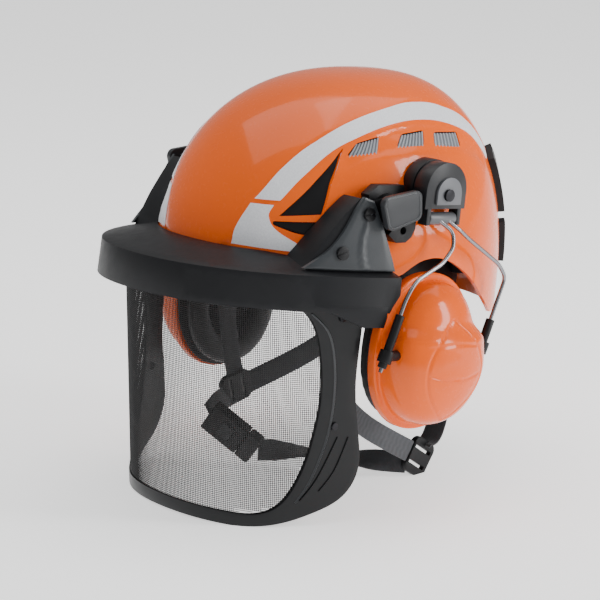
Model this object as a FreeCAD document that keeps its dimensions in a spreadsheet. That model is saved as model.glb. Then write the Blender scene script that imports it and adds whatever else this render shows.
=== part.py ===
"""Forestry helmet with a flip-up mesh visor and two ear muffs, in millimetres.

Frame: +Z up the wearer's head, the face looks along -Y, the wearer's left is +X.
The origin is the middle of the head opening, level with the brow guard's lower edge.
Side names: _l is the wearer's left (+X), _r the wearer's right.
"""
import FreeCAD, Part
import math
import os
import Sketcher

Vector = FreeCAD.Vector

doc = FreeCAD.newDocument("forestry_helmet")

# ---------------------------------------------------------------- driving dimensions
SIZES = [
    ("shell_half_width", 104.0),
    ("shell_front_reach", 154.0),
    ("shell_rear_reach", 98.0),
    ("shell_height", 146.0),
    ("shell_widest_y", 28.0),
    ("shell_front_power", 2.26),
    ("shell_rear_power", 1.87),
    ("shell_profile_power", 2.45),
    ("shell_profile_root", 2.39),
    ("shell_wall", 3.0),
    ("foam_thickness", 16.0),
    ("foam_rim_height", 38.0),
    ("guard_half_width", 119.0),
    ("guard_front_reach", 186.4),
    ("guard_centre_y", 15.4),
    ("guard_power", 2.235),
    ("guard_height", 23.0),
    ("guard_wall", 2.8),
    ("accessory_radius", 2.6),
    ("accessory_depth", 5.0),
    ("guard_rear_y", -41.0),
    ("visor_top_half_width", 112.0),
    ("visor_top_reach", 167.0),
    ("visor_half_width", 110.0),
    ("visor_reach", 141.0),
    ("visor_drop", 150.0),
    ("visor_frame_thickness", 2.4),
    ("visor_mesh_thickness", 0.4),
    ("pivot_y", -42.0),
    ("pivot_z", 65.0),
    ("pivot_pin_radius", 4.0),
    ("running_gap", 0.05),
    ("arm_plate_x", 94.0),
    ("arm_plate_thickness", 3.2),
    ("arm_boss_radius", 10.0),
    ("arm_boss_length", 11.5),
    ("pivot_cap_x", 106.3),
    ("pivot_cap_thickness", 4.0),
    ("swivel_y", -4.0),
    ("swivel_z", 76.0),
    ("swivel_x", 97.4),
    ("swivel_depth", 12.6),
    ("swivel_half_width", 18.4),
    ("swivel_drop", 9.2),
    ("swivel_post_radius", 5.0),
    ("swivel_cover_thickness", 1.8),
    ("swivel_screw_radius", 4.0),
    ("swivel_screw_height", 2.0),
    ("tilt_x", 106.0),
    ("tilt_z", 60.0),
    ("arm_block_radius", 4.2),
    ("arm_block_length", 24.0),
    ("tilt_pin_radius", 1.5),
    ("wire_radius", 1.5),
    ("sleeve_radius", 3.0),
    ("cup_y", -4.5),
    ("cup_z", -29.0),
    ("cup_half_width", 44.0),
    ("cup_half_height", 52.5),
    ("cup_base_x", 98.0),
    ("cup_wall", 2.2),
    ("cup_power", 2.15),
    ("cushion_thickness", 13.0),
    ("cushion_hole_half_width", 21.0),
    ("cushion_hole_half_height", 29.0),
    ("cup_plate_thickness", 2.0),
    ("cup_foam_thickness", 16.0),
    ("band_half_width", 77.0),
    ("band_half_length", 97.0),
    ("band_centre_y", 5.0),
    ("band_low_z", 8.0),
    ("band_height", 22.0),
    ("band_thickness", 1.8),
    ("wheel_radius", 17.0),
    ("wheel_width", 9.0),
    ("wheel_z", -20.0),
    ("wheel_pin_radius", 3.0),
    ("strap_width", 15.0),
    ("strap_thickness", 1.6),
    ("buckle_length", 30.0),
    ("buckle_width", 24.0),
    ("buckle_thickness", 9.0),
    ("button_length", 10.0),
    ("button_width", 12.0),
    ("screw_head_radius", 4.3),
    ("screw_length", 5.2),
    ("rivet_radius", 2.6),
]

sheet = doc.addObject("Spreadsheet::Sheet", "sizes")
for row, (alias, value) in enumerate(SIZES, start=1):
    sheet.set("A%d" % row, alias)
    sheet.set("B%d" % row, str(value))
    sheet.setAlias("B%d" % row, alias)
doc.recompute()


def size(alias):
    """A driving dimension as a plain number."""
    return float(getattr(sheet, alias))


def cell(text):
    """An expression in which each @word is a cell of the sheet."""
    return text.replace("@", "sizes.")


SUBPARTS = []


def keep(obj, label):
    """Give a finished object its node name and list it for export."""
    obj.Label = label
    SUBPARTS.append(obj)
    return obj


def feature(label, shape, placement=FreeCAD.Placement()):
    """A sub-part whose form no standard feature makes, drawn about its own origin or in place."""
    obj = doc.addObject("Part::Feature", label)
    obj.Shape = shape
    obj.Placement = placement
    return keep(obj, label)


def mirrored_shape(shape):
    """The same shape on the wearer's other side."""
    return shape.mirror(Vector(0, 0, 0), Vector(1, 0, 0))


def mirror_object(source, label):
    """A document mirror of a left-hand sub-part."""
    obj = doc.addObject("Part::Mirroring", label)
    obj.Source = source
    obj.Base = Vector(0, 0, 0)
    obj.Normal = Vector(1, 0, 0)
    return keep(obj, label)


def both_sides(source, stem):
    """Keep a left-hand object and its mirror as two sub-parts."""
    keep(source, stem + "_l")
    return mirror_object(source, stem + "_r")


def both_features(shape, stem):
    """Keep a left-hand shape and its mirror as two sub-parts."""
    feature(stem + "_l", shape)
    feature(stem + "_r", mirrored_shape(shape))


def pair_feature(shape, label):
    """Keep a left-hand shape and its mirror as one group of solids."""
    return feature(label, Part.makeCompound(shape.Solids + mirrored_shape(shape).Solids))


# ---------------------------------------------------------------- geometry helpers
def superellipse_point(half_x, reach_front, reach_rear, power_front, power_rear, angle):
    """A point on a plan outline; angle 0 is +X, 270 degrees is the front."""
    cosine = math.cos(angle)
    sine = math.sin(angle)
    power = power_front if sine < 0 else power_rear
    reach = reach_front if sine < 0 else reach_rear
    x = half_x * math.copysign(abs(cosine) ** (2.0 / power), cosine)
    y = reach * math.copysign(abs(sine) ** (2.0 / power), sine)
    return x, y


def closed_curve(points):
    """A smooth closed wire through the points."""
    curve = Part.BSplineCurve()
    curve.interpolate(Points=points, PeriodicFlag=True)
    return Part.Wire(curve.toShape())


def plan_wire(half_x, reach_front, reach_rear, power_front, power_rear, centre_y, z, count=40):
    """A level superellipse outline at height z."""
    points = []
    for index in range(count):
        angle = 2.0 * math.pi * (index + 0.5) / count
        x, y = superellipse_point(half_x, reach_front, reach_rear, power_front, power_rear, angle)
        points.append(Vector(x, centre_y + y, z))
    return closed_curve(points)


def side_prism(points, x_low=20.0, x_high=160.0):
    """A prism across the helmet whose outline is drawn in the side view (y, z)."""
    corners = [Vector(x_low, y, z) for y, z in points]
    wire = Part.makePolygon(corners + [corners[0]])
    return Part.Face(wire).extrude(Vector(x_high - x_low, 0, 0))


def flowing_prism(points, x_low, x_high):
    """A side-view prism: one smooth curve from the second point to the last but one."""
    corners = [Vector(x_low, y, z) for y, z in points]
    curve = Part.BSplineCurve()
    curve.interpolate(corners[1:-1])
    straight = [corners[-2], corners[-1], corners[0], corners[1]]
    edges = [curve.toShape()]
    for start, end in zip(straight, straight[1:]):
        edges.append(Part.makeLine(start, end))
    return Part.Face(Part.Wire(edges)).extrude(Vector(x_high - x_low, 0, 0))


def ribbon(points, across, width, thickness):
    """Flat webbing through the points, with its width along each across vector."""
    sections = []
    for index, point in enumerate(points):
        before = points[max(index - 1, 0)]
        after = points[min(index + 1, len(points) - 1)]
        run = (after - before).normalize()
        wide = across[index] - run * across[index].dot(run)
        wide.normalize()
        thin = run.cross(wide).normalize() * (thickness / 2.0)
        wide = wide * (width / 2.0)
        corners = [point + wide + thin, point - wide + thin, point - wide - thin, point + wide - thin]
        sections.append(Part.makePolygon(corners + [corners[0]]))
    return Part.makeLoft(sections, True, True)


def rod(points, radius):
    """A round bar along straight runs with ball corners."""
    bar = None
    for start, end in zip(points, points[1:]):
        run = end - start
        piece = Part.makeCylinder(radius, run.Length, start, run)
        bar = piece if bar is None else bar.fuse(piece)
    for corner in points[1:-1]:
        bar = bar.fuse(Part.makeSphere(radius, corner))
    return bar


# ---------------------------------------------------------------- sketch helpers
def new_body(name):
    return doc.addObject("PartDesign::Body", name)


def origin_plane(body, role):
    for item in body.Origin.OriginFeatures:
        if item.Role == role:
            return item
    raise ValueError(role)


def side_sketch(body, name, x_expression):
    """A sketch in the side view: sketch x is model y, sketch y is model z."""
    sketch = body.newObject("Sketcher::SketchObject", name)
    sketch.AttachmentSupport = [(origin_plane(body, "YZ_Plane"), "")]
    sketch.MapMode = "FlatFace"
    sketch.setExpression(".AttachmentOffset.Base.z", cell(x_expression))
    return sketch


def draw_polygon(sketch, points):
    for start, end in zip(points, points[1:] + points[:1]):
        sketch.addGeometry(Part.LineSegment(Vector(start[0], start[1], 0), Vector(end[0], end[1], 0)))


def draw_circle(sketch, y, z, radius, radius_expression=None):
    index = sketch.addGeometry(Part.Circle(Vector(y, z, 0), Vector(0, 0, 1), radius))
    if radius_expression:
        number = sketch.addConstraint(Sketcher.Constraint("Radius", index, radius))
        sketch.setExpression("Constraints[%d]" % number, cell(radius_expression))


def draw_ellipse(sketch, y, z, half_y, half_z):
    """An upright ellipse, its long axis along the sketch's y."""
    sketch.addGeometry(Part.Ellipse(Vector(y, z + half_z, 0), Vector(y + half_y, z, 0), Vector(y, z, 0)))


def pad(body, sketch, name, length_expression):
    item = body.newObject("PartDesign::Pad", name)
    item.Profile = sketch
    item.setExpression("Length", cell(length_expression))
    sketch.Visibility = False
    body.Tip = item
    return item


def pocket_through(body, sketch, name, length_expression):
    """A pocket that runs along +X from its sketch."""
    item = body.newObject("PartDesign::Pocket", name)
    item.Profile = sketch
    item.Reversed = True
    item.setExpression("Length", cell(length_expression))
    sketch.Visibility = False
    body.Tip = item
    return item


def cut_with(base, tool_shape, name):
    """Trim an object of the document with a fixed envelope."""
    tool = doc.addObject("Part::Feature", name + "_envelope")
    tool.Shape = tool_shape
    cut = doc.addObject("Part::Cut", name)
    cut.Base = base
    cut.Tool = tool
    return cut


# ---------------------------------------------------------------- shell family
def profile_scale(fraction):
    """Width of the shell at a fraction of its height, against its width at the rim."""
    if fraction <= 0.0:
        return 1.0
    rest = max(0.0, 1.0 - fraction ** size("shell_profile_power"))
    return rest ** (1.0 / size("shell_profile_root"))


def dome(offset, low_z=-40.0):
    """The solid inside the shell's outer surface moved outwards by offset."""
    top = size("shell_height") + offset
    wires = []
    for fraction in (low_z / top, 0.0, 0.2, 0.38, 0.54, 0.68, 0.8, 0.89, 0.95, 0.985, 0.998):
        scale = profile_scale(fraction)
        wires.append(plan_wire((size("shell_half_width") + offset) * scale,
                               (size("shell_front_reach") + offset) * scale,
                               (size("shell_rear_reach") + offset) * scale,
                               size("shell_front_power"), size("shell_rear_power"),
                               size("shell_widest_y"), fraction * top))
    return Part.makeLoft(wires, True, False)


# Side-view outlines, (y, z) on the wearer's left.
EAR_ARCH = [(-38, 20), (-28, 21), (-18, 27), (-10, 31), (1, 32.7), (12, 31), (24, 25.6), (39, 15.6), (53, 3.8)]
FRONT_OPENING = [(-57.5, 101), (-100.5, 55.5), (-104, 49), (-83, 43), (-80, 56), (-70, 78)]
SIDE_WINDOWS = [
    [(-57, 95), (-49, 103.5), (-31, 108.5), (-36, 98.5)],
    [(-21, 102.5), (-14, 110.5), (6, 113.5), (2, 104)],
    [(11, 104.5), (14, 112.5), (37, 113), (36, 103.5)],
]
UPPER_STRIPE = [(-108, 63.4), (-94, 83), (-75, 100), (-46, 116), (-12, 126.5), (12, 130), (34, 128), (58, 119),
                (76, 103), (72, 94), (53, 110.5), (28, 118.6), (4, 119.8), (-20, 116), (-44, 108), (-66, 97),
                (-86, 79.5), (-98.5, 64.2)]
FRONT_STRIPE = [(-109.5, 60), (-101.5, 60.6), (-104.5, 53), (-103, 46.5), (-83, 40), (-86, 31), (-114, 33),
                (-118.5, 36)]


def rim_cutter():
    """Everything below the shell's edge: level at the front, arched over each ear."""
    curve = Part.BSplineCurve()
    curve.interpolate([Vector(-160, y, z) for y, z in EAR_ARCH])
    front = [(-38, 20), (-48, 12), (-160, 12), (-160, -60), (160, -60), (160, -9), (70, -9), (53, 3.8)]
    edges = [curve.toShape()]
    for start, end in zip(front, front[1:]):
        edges.append(Part.makeLine(Vector(-160, start[0], start[1]), Vector(-160, end[0], end[1])))
    wire = Part.Wire(Part.__sortEdges__(edges))
    return Part.Face(wire).extrude(Vector(320, 0, 0))


def build_shell():
    wall = size("shell_wall")
    shell = dome(0.0).cut(dome(-wall, -45.0))
    shell = shell.cut(rim_cutter())
    for outline in [FRONT_OPENING] + SIDE_WINDOWS:
        window = side_prism(outline)
        shell = shell.cut(window).cut(mirrored_shape(window))
    feature("outer_shell", shell)


def build_foam_liner():
    outer = dome(-size("shell_wall") - 0.3)
    inner = dome(-size("shell_wall") - 0.3 - size("foam_thickness"), -45.0)
    below = Part.makeBox(400, 400, 400, Vector(-200, -200, size("foam_rim_height") - 400))
    feature("foam_liner", outer.cut(inner).cut(below))


def shell_patch(outer_offset, inner_offset, outlines):
    """A skin that follows the shell inside each side-view outline."""
    skin = dome(outer_offset).cut(dome(inner_offset, -45.0))
    solids = []
    for outline in outlines:
        solids += skin.common(side_prism(outline)).Solids
    return Part.makeCompound(solids)


def build_shell_trim():
    pair_feature(shell_patch(-1.2, -2.9, [FRONT_OPENING]), "front_vent_inserts")
    pair_feature(shell_patch(-1.2, -2.9, SIDE_WINDOWS), "side_vent_grilles")
    pair_feature(shell_patch(0.6, 0.12, [UPPER_STRIPE]), "upper_stripes")
    pair_feature(shell_patch(0.6, 0.12, [FRONT_STRIPE]), "front_stripes")
    clip = [(84, 100), (96, 86), (100, 60), (92, 56), (82, 72), (76, 94)]
    keeper = [(97, 52), (106, 50), (108, 24), (100, 22)]
    pair_feature(shell_patch(3.0, 0.1, [clip, keeper]), "rear_lamp_clips")


# ---------------------------------------------------------------- head harness
def band_ring(outer_gap, thickness, low_z, height):
    """An upright oval ring around the head."""
    rings = []
    for gap in (outer_gap, outer_gap - thickness):
        wire = plan_wire(size("band_half_width") + gap, size("band_half_length") + gap,
                         size("band_half_length") + gap, 2.0, 2.0, size("band_centre_y"), low_z)
        rings.append(Part.Face(wire).extrude(Vector(0, 0, height)))
    return rings[0].cut(rings[1])


def build_harness():
    thickness = size("band_thickness")
    low_z = size("band_low_z")
    height = size("band_height")
    feature("headband", band_ring(0.0, thickness, low_z, height))

    pad_ring = band_ring(-thickness - 0.2, 5.0, low_z - 1.0, height - 7.0)
    front_zone = Part.makeBox(140, 70, 80, Vector(-70, -120, -20))
    feature("brow_pad", pad_ring.common(front_zone))

    nape_outline = [(34, low_z - 0.5), (110, low_z - 0.5), (110, -38), (72, -34), (34, low_z - 12)]
    nape = band_ring(0.0, 2.4, -45.0, 70.0).common(side_prism(nape_outline, -160.0, 160.0))
    rear_y = size("band_centre_y") + size("band_half_length")
    pin = Part.makeCylinder(size("wheel_pin_radius"), 12.0, Vector(0, rear_y - 1.5, size("wheel_z")), Vector(0, 1, 0))
    feature("nape_cradle", nape.fuse(pin))

    straps = []
    crown_rise = 84.0
    for turn, lift in ((0.0, 0.0), (90.0, 2.0)):
        half = (size("band_half_width") if turn == 0.0 else size("band_half_length")) - 3.4
        points = []
        across = []
        for step in range(13):
            angle = math.pi * step / 12.0
            along = half * math.cos(angle)
            z = low_z + height - 6.0 + (crown_rise + lift) * math.sin(angle) ** 0.9
            if turn == 0.0:
                points.append(Vector(along, size("band_centre_y"), z))
                across.append(Vector(0, 1, 0))
            else:
                points.append(Vector(0, size("band_centre_y") + along, z))
                across.append(Vector(1, 0, 0))
        straps.append(ribbon(points, across, 20.0, 1.2))
    feature("cradle_straps", Part.makeCompound(straps))

    anchors = []
    for degrees in (40.0, 140.0, 225.0, 315.0):
        block = Part.makeBox(20, 20, 12, Vector(83, -10, 16))
        block.rotate(Vector(0, 0, 0), Vector(0, 0, 1), degrees)
        block.translate(Vector(0, size("band_centre_y"), 0))
        anchors.append(block)
    inside = dome(-size("shell_wall") - 0.1, -45.0)
    ring_zone = band_ring(0.1, 0.2, 0.0, 60.0)
    hole = Part.Face(plan_wire(size("band_half_width") + 0.2, size("band_half_length") + 0.2,
                               size("band_half_length") + 0.2, 2.0, 2.0, size("band_centre_y"), 0.0))
    core = hole.extrude(Vector(0, 0, 60.0)).fuse(ring_zone)
    solids = []
    for block in anchors:
        solids += block.common(inside).cut(core).Solids
    feature("cradle_anchors", Part.makeCompound(solids))


def build_adjuster_wheel():
    """Knurled nape wheel on its pin, axis front to back."""
    rear_y = size("band_centre_y") + size("band_half_length") + 0.6
    body = new_body("adjuster_wheel_body")
    sketch = body.newObject("Sketcher::SketchObject", "wheel_outline")
    sketch.AttachmentSupport = [(origin_plane(body, "XZ_Plane"), "")]
    sketch.MapMode = "FlatFace"
    sketch.AttachmentOffset = FreeCAD.Placement(Vector(0, 0, -rear_y - size("wheel_width")), FreeCAD.Rotation())
    draw_circle(sketch, 0, size("wheel_z"), size("wheel_radius"), "@wheel_radius")
    draw_circle(sketch, 0, size("wheel_z"), size("wheel_pin_radius") + size("running_gap"),
                "@wheel_pin_radius + @running_gap")
    pad(body, sketch, "wheel_disc", "@wheel_width")
    grip = body.newObject("Sketcher::SketchObject", "grip_groove")
    grip.AttachmentSupport = [(origin_plane(body, "XZ_Plane"), "")]
    grip.MapMode = "FlatFace"
    grip.AttachmentOffset = sketch.AttachmentOffset
    doc.recompute()
    count = 18
    groove_radius = 1.9
    reach = size("wheel_radius") + 0.8
    for index in range(count):
        angle = 2.0 * math.pi * index / count
        draw_circle(grip, reach * math.cos(angle), size("wheel_z") + reach * math.sin(angle), groove_radius)
    doc.recompute()
    item = body.newObject("PartDesign::Pocket", "grip_grooves")
    item.Profile = grip
    item.Reversed = True
    item.setExpression("Length", cell("@wheel_width"))
    body.Tip = item
    keep(body, "adjuster_wheel")


# ---------------------------------------------------------------- chin straps
LEFT_ADJUSTER = Vector(60, 49, -116)
RIGHT_ADJUSTER = Vector(-62, -17, -89)
FRONT_ANCHOR = Vector(71.5, -34, 14)
REAR_ANCHOR = Vector(44, 90, -18)
BUCKLE_TOP = Vector(-50, -50, -103)
BUCKLE_END = Vector(-22, -30, -124)


def build_chin_straps():
    width = size("strap_width")
    thick = size("strap_thickness")
    along_y = Vector(0, 1, 0)
    routes = {
        "chin_strap_front_l": ([FRONT_ANCHOR, Vector(75, -44, -30), Vector(74, -46, -62), Vector(68, -16, -86),
                                LEFT_ADJUSTER + Vector(1, -10, 5)],
                               [along_y, along_y, Vector(0, 1, 0.3), Vector(0, 0.55, 1), Vector(0, 0.55, 1)]),
        "chin_strap_front_r": ([Vector(-71.5, -34, 14), Vector(-70, -24, -40), Vector(-66, -20, -66),
                                RIGHT_ADJUSTER + Vector(-1, -1, 9)],
                               [along_y, along_y, along_y, along_y]),
        "chin_strap_rear_l": ([REAR_ANCHOR, Vector(58, 66, -94), LEFT_ADJUSTER + Vector(-1, 4, 8)],
                              [Vector(1, 0.4, 0.2), Vector(1, 0.3, 0.1), Vector(1, 0.3, 0.1)]),
        "chin_strap_rear_r": ([Vector(-44, 90, -18), Vector(-45, 48, -56), RIGHT_ADJUSTER + Vector(0, 10, 2)],
                              [Vector(0, 0.3, 1), Vector(0, 0.3, 1), Vector(0, 0.3, 1)]),
        "chin_strap_lower_l": ([BUCKLE_END + Vector(2, 2, 0), Vector(0, -10, -122), Vector(28, 4, -120),
                                LEFT_ADJUSTER + Vector(-2, -9, -4)],
                               [Vector(0, 0.2, 1), Vector(0, 1, 0.4), Vector(0, 1, 0.1), Vector(0.3, 0.3, 1)]),
        "chin_strap_lower_r": ([RIGHT_ADJUSTER + Vector(1, -7, -6), Vector(-55, -38, -97), BUCKLE_TOP],
                               [Vector(0.2, 0.6, -1), Vector(0.2, 0.6, -1), Vector(0.4, -0.3, -1)]),
    }
    for label, (points, across) in routes.items():
        feature(label, ribbon(points, across, width, thick))

    for label, place, tilt in (("strap_adjuster_l", LEFT_ADJUSTER, 62.0), ("strap_adjuster_r", RIGHT_ADJUSTER, 20.0)):
        plate = Part.makeBox(4.6, 26, 22, Vector(-2.3, -13, -11))
        uprights = [edge for edge in plate.Edges if abs(edge.tangentAt(edge.FirstParameter).x) > 0.99]
        plate = plate.makeFillet(6.0, uprights)
        for offset in (-5.6, 5.6):
            slot = Part.makeBox(10, 2.6, 16.4, Vector(-5, offset - 1.3, -8.2))
            plate = plate.cut(slot)
        feature(label, plate, FreeCAD.Placement(place, FreeCAD.Rotation(Vector(1, 0, 0), tilt)))


def buckle_placement():
    """Buckle frame: x along the strap, y across it, z out through the button."""
    along = (BUCKLE_END - BUCKLE_TOP).normalize()
    out = Vector(-0.3, -1, 0.2)
    out = (out - along * out.dot(along)).normalize()
    wide = out.cross(along)
    rotation = FreeCAD.Rotation(along, wide, out, "ZXY")
    return FreeCAD.Placement(BUCKLE_TOP, rotation)


def build_buckle():
    """Side-entry chin buckle: a hollow socket, a plug with a tongue, and a sprung button."""
    length = size("buckle_length")
    width = size("buckle_width")
    thick = size("buckle_thickness")
    place = buckle_placement()
    button_length = size("button_length")
    button_width = size("button_width")

    block = Part.makeBox(length, width, thick, Vector(0.5, -width / 2, -thick / 2))
    block = block.makeFillet(2.0, [edge for edge in block.Edges if edge.Length > thick + 1])
    cavity = Part.makeBox(length - 5, width - 7, thick - 4.4, Vector(6, -(width - 7) / 2, -(thick - 4.4) / 2))
    window = Part.makeBox(button_length + 0.6, button_width + 0.6, thick,
                          Vector(11.7, -(button_width + 0.6) / 2, 0))
    socket = block.cut(cavity).cut(window)
    feature("buckle_socket", socket, place)

    grip = Part.makeBox(11, width, thick, Vector(length + 0.9, -width / 2, -thick / 2))
    grip = grip.makeFillet(2.0, [edge for edge in grip.Edges if edge.Length > 8])
    tongue = Part.makeBox(length - 7, width - 8, 2.0, Vector(8, -(width - 8) / 2, -2.1))
    plug = grip.fuse(tongue)
    feature("buckle_plug", plug, place)

    button = Part.makeBox(button_length, button_width, 3.6, Vector(12, -button_width / 2, 1.9))
    button = button.makeFillet(0.8, [edge for edge in button.Edges if edge.Length > 5 and
                                     edge.CenterOfMass.z > 3])
    feature("buckle_button", button, place)


# ---------------------------------------------------------------- visor carrier
def guard_solid(inset, low_z, high_z, high_inset):
    """A level slice of the brow guard's outside, from low_z to high_z."""
    wires = []
    for z, step in ((low_z, inset), (high_z, high_inset)):
        wires.append(plan_wire(size("guard_half_width") - step, size("guard_front_reach") - step,
                               size("guard_front_reach") - step, size("guard_power"), size("guard_power"),
                               size("guard_centre_y"), z))
    return Part.makeLoft(wires, True, True)


# Side-view outlines of the guard's arm and of its lower skirt.
ARM_OUTLINE = [(-104, 20), (-97, 33), (-88, 47), (-76, 62), (-66, 72), (-58, 70), (-52, 56), (-46, 42), (-41, 27),
               (-41, 20)]
SKIRT_OUTLINE = [(-100, 4), (-84, -2.5), (-66, -9.5), (-50, -9.5), (-50, 4)]
CUP_ROOM = [(-40, 14), (-41.5, 11), (-46.5, 3.5), (-50, -3), (-52, -11), (-20, -11), (-20, 14)]


def arm_envelope(inset):
    """The outside of the arms: the guard's outline, leaning in as it rises."""
    return guard_solid(6.0 + inset, 18.0, 78.0, 13.0 + inset)


def build_brow_guard():
    wall = size("guard_wall")
    height = size("guard_height")
    rim = guard_solid(0.0, 0.0, height, 1.0)
    rim_inner = guard_solid(wall, -1.0, height - wall, wall + 1.0)
    roof = guard_solid(1.0, height, height + 9.0, 34.0)
    roof_inner = guard_solid(wall + 1.0, height - wall, height + 9.0 - wall, 34.0 + wall)
    guard = rim.fuse(roof).cut(rim_inner.fuse(roof_inner))

    skirt = guard_solid(0.0, -10.0, 5.0, 0.0).cut(guard_solid(wall, -11.0, 6.0, wall))
    skirt = skirt.common(side_prism(SKIRT_OUTLINE, -160.0, 160.0))
    guard = guard.fuse(skirt)

    arm = arm_envelope(2.7).common(side_prism(ARM_OUTLINE, 40.0))
    hollow_outline = [(-94, 18), (-90, 31), (-82, 44), (-72, 57), (-64, 66), (-60, 64), (-54, 52), (-48, 40),
                      (-40, 28), (-40, 18)]
    arm = arm.cut(arm_envelope(5.2).common(side_prism(hollow_outline, 40.0)))
    guard = guard.fuse(arm).fuse(mirrored_shape(arm))

    shell_room = 0.8
    head_room = dome(shell_room)
    pivot = Vector(0, size("pivot_y"), size("pivot_z"))
    for raised in (25.0, 45.0, 65.0):
        turned = dome(shell_room)
        turned.rotate(pivot, Vector(1, 0, 0), raised)
        guard = guard.cut(turned)
    behind = Part.makeBox(400, 400, 400, Vector(-200, size("guard_rear_y"), -200))
    guard = guard.cut(head_room).cut(behind).cut(side_prism(CUP_ROOM, -160.0, 160.0))
    for side in (-1, 1):
        start = Vector(side * 60.0, size("pivot_y"), size("pivot_z"))
        guard = guard.cut(Part.makeCylinder(22.0, size("arm_plate_x") - 60.1, start, Vector(side, 0, 0)))
    guard = max(guard.Solids, key=lambda solid: solid.Volume)
    feature("brow_guard", guard)

    plate = arm_envelope(0.0).cut(arm_envelope(2.6)).common(side_prism(ARM_OUTLINE, 40.0))
    plate = plate.cut(behind).cut(head_room).cut(guard)
    plate = max(plate.Solids, key=lambda solid: solid.Volume)
    pair_feature(Part.makeCompound([plate]), "brow_side_plates")
    return plate


SCREW_PLACES = [(-62, 62), (-80, 37)]


def build_brow_screws():
    """Slotted screws through the side plates, set square to the plate."""
    solids = []
    for y, z in SCREW_PLACES:
        ray = Part.makeLine(Vector(60, y, z), Vector(160, y, z))
        surface = arm_envelope(0.0).common(ray)
        x = surface.BoundBox.XMax
        lean = 0.10 if y > -70 else 0.20
        out = Vector(1, -lean, 0.12).normalize()
        seat = Vector(x, y, z)
        shank = Part.makeCylinder(2.0, size("screw_length"), seat - out * size("screw_length"), out)
        head = Part.makeCylinder(size("screw_head_radius"), 1.8, seat - out * 0.2, out)
        screw = shank.fuse(head)
        slot = Part.makeBox(1.2, 12, 1.2, Vector(-0.6, -6, 0))
        slot.Placement = FreeCAD.Placement(seat + out * 0.9, FreeCAD.Rotation(Vector(0, 0, 1), out))
        solids += screw.cut(slot).Solids
    pair_feature(Part.makeCompound(solids), "brow_screws")


def build_pivot_arms(side_plate):
    """Flat arm from the carrier to its boss on the pivot pin."""
    body = new_body("pivot_arm_body")
    plate = side_sketch(body, "arm_plate_outline", "@arm_plate_x")
    draw_polygon(plate, [(-49, 72), (-60, 69), (-69, 60), (-66, 50), (-49, 57.5)])
    pad(body, plate, "arm_plate", "@arm_plate_thickness")
    boss = side_sketch(body, "boss_outline", "@arm_plate_x")
    draw_circle(boss, size("pivot_y"), size("pivot_z"), size("arm_boss_radius"), "@arm_boss_radius")
    pad(body, boss, "boss", "@arm_boss_length")
    bore = side_sketch(body, "bore_outline", "@arm_plate_x")
    draw_circle(bore, size("pivot_y"), size("pivot_z"), size("pivot_pin_radius") + size("running_gap"),
                "@pivot_pin_radius + @running_gap")
    doc.recompute()
    pocket_through(body, bore, "bore", "@arm_boss_length")
    doc.recompute()
    arm = max(body.Shape.cut(dome(0.4)).cut(side_plate).Solids, key=lambda solid: solid.Volume)
    pair_feature(Part.makeCompound([arm]), "pivot_arms")


VISOR_TOP_Z = 20.0


def visor_sheet(inset, thickness):
    """The visor's curved wall, from inside the brow guard down to its lower edge."""
    solids = []
    for step in (inset, inset + thickness):
        wires = []
        for z, half, reach in ((VISOR_TOP_Z, size("visor_top_half_width"), size("visor_top_reach")),
                               (-size("visor_drop"), size("visor_half_width"), size("visor_reach"))):
            wires.append(plan_wire(half - step, reach - step, reach - step, size("guard_power"),
                                   size("guard_power"), size("guard_centre_y"), z))
        solids.append(Part.makeLoft(wires, True, True))
    return solids[0].cut(solids[1])


VISOR_EDGE = [(-175, 20), (-64, 20), (-60, -10), (-59, -50), (-52, -86), (-50, -106), (-58, -124), (-75, -136),
              (-98, -147), (-112, -150), (-175, -150)]
MESH_EDGE = [(-175, 2), (-104, 2), (-92, -8), (-84, -29), (-80, -55), (-81, -84), (-88, -120), (-96, -135),
             (-112, -141), (-175, -141)]


def build_visor():
    frame_wall = size("visor_frame_thickness")
    mesh_wall = size("visor_mesh_thickness")
    opening = flowing_prism(MESH_EDGE, -160.0, 160.0)
    frame = visor_sheet(0.0, frame_wall).common(flowing_prism(VISOR_EDGE, -160.0, 160.0)).cut(opening)
    feature("visor_frame", max(frame.Solids, key=lambda solid: solid.Volume))
    mesh = visor_sheet((frame_wall - mesh_wall) / 2, mesh_wall).common(opening)
    feature("visor_mesh", max(mesh.Solids, key=lambda solid: solid.Volume))

    rivets = []
    for y, z in ((-70, -77), (-74, -5)):
        line = Part.makeLine(Vector(60, y, z), Vector(160, y, z))
        x = visor_sheet(0.0, frame_wall).common(line).BoundBox.XMax
        rivets.append(Part.makeCylinder(size("rivet_radius"), 5.0, Vector(x - 3.6, y, z), Vector(1, 0, 0)))
    pair_feature(Part.makeCompound(rivets), "visor_rivets")


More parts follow.
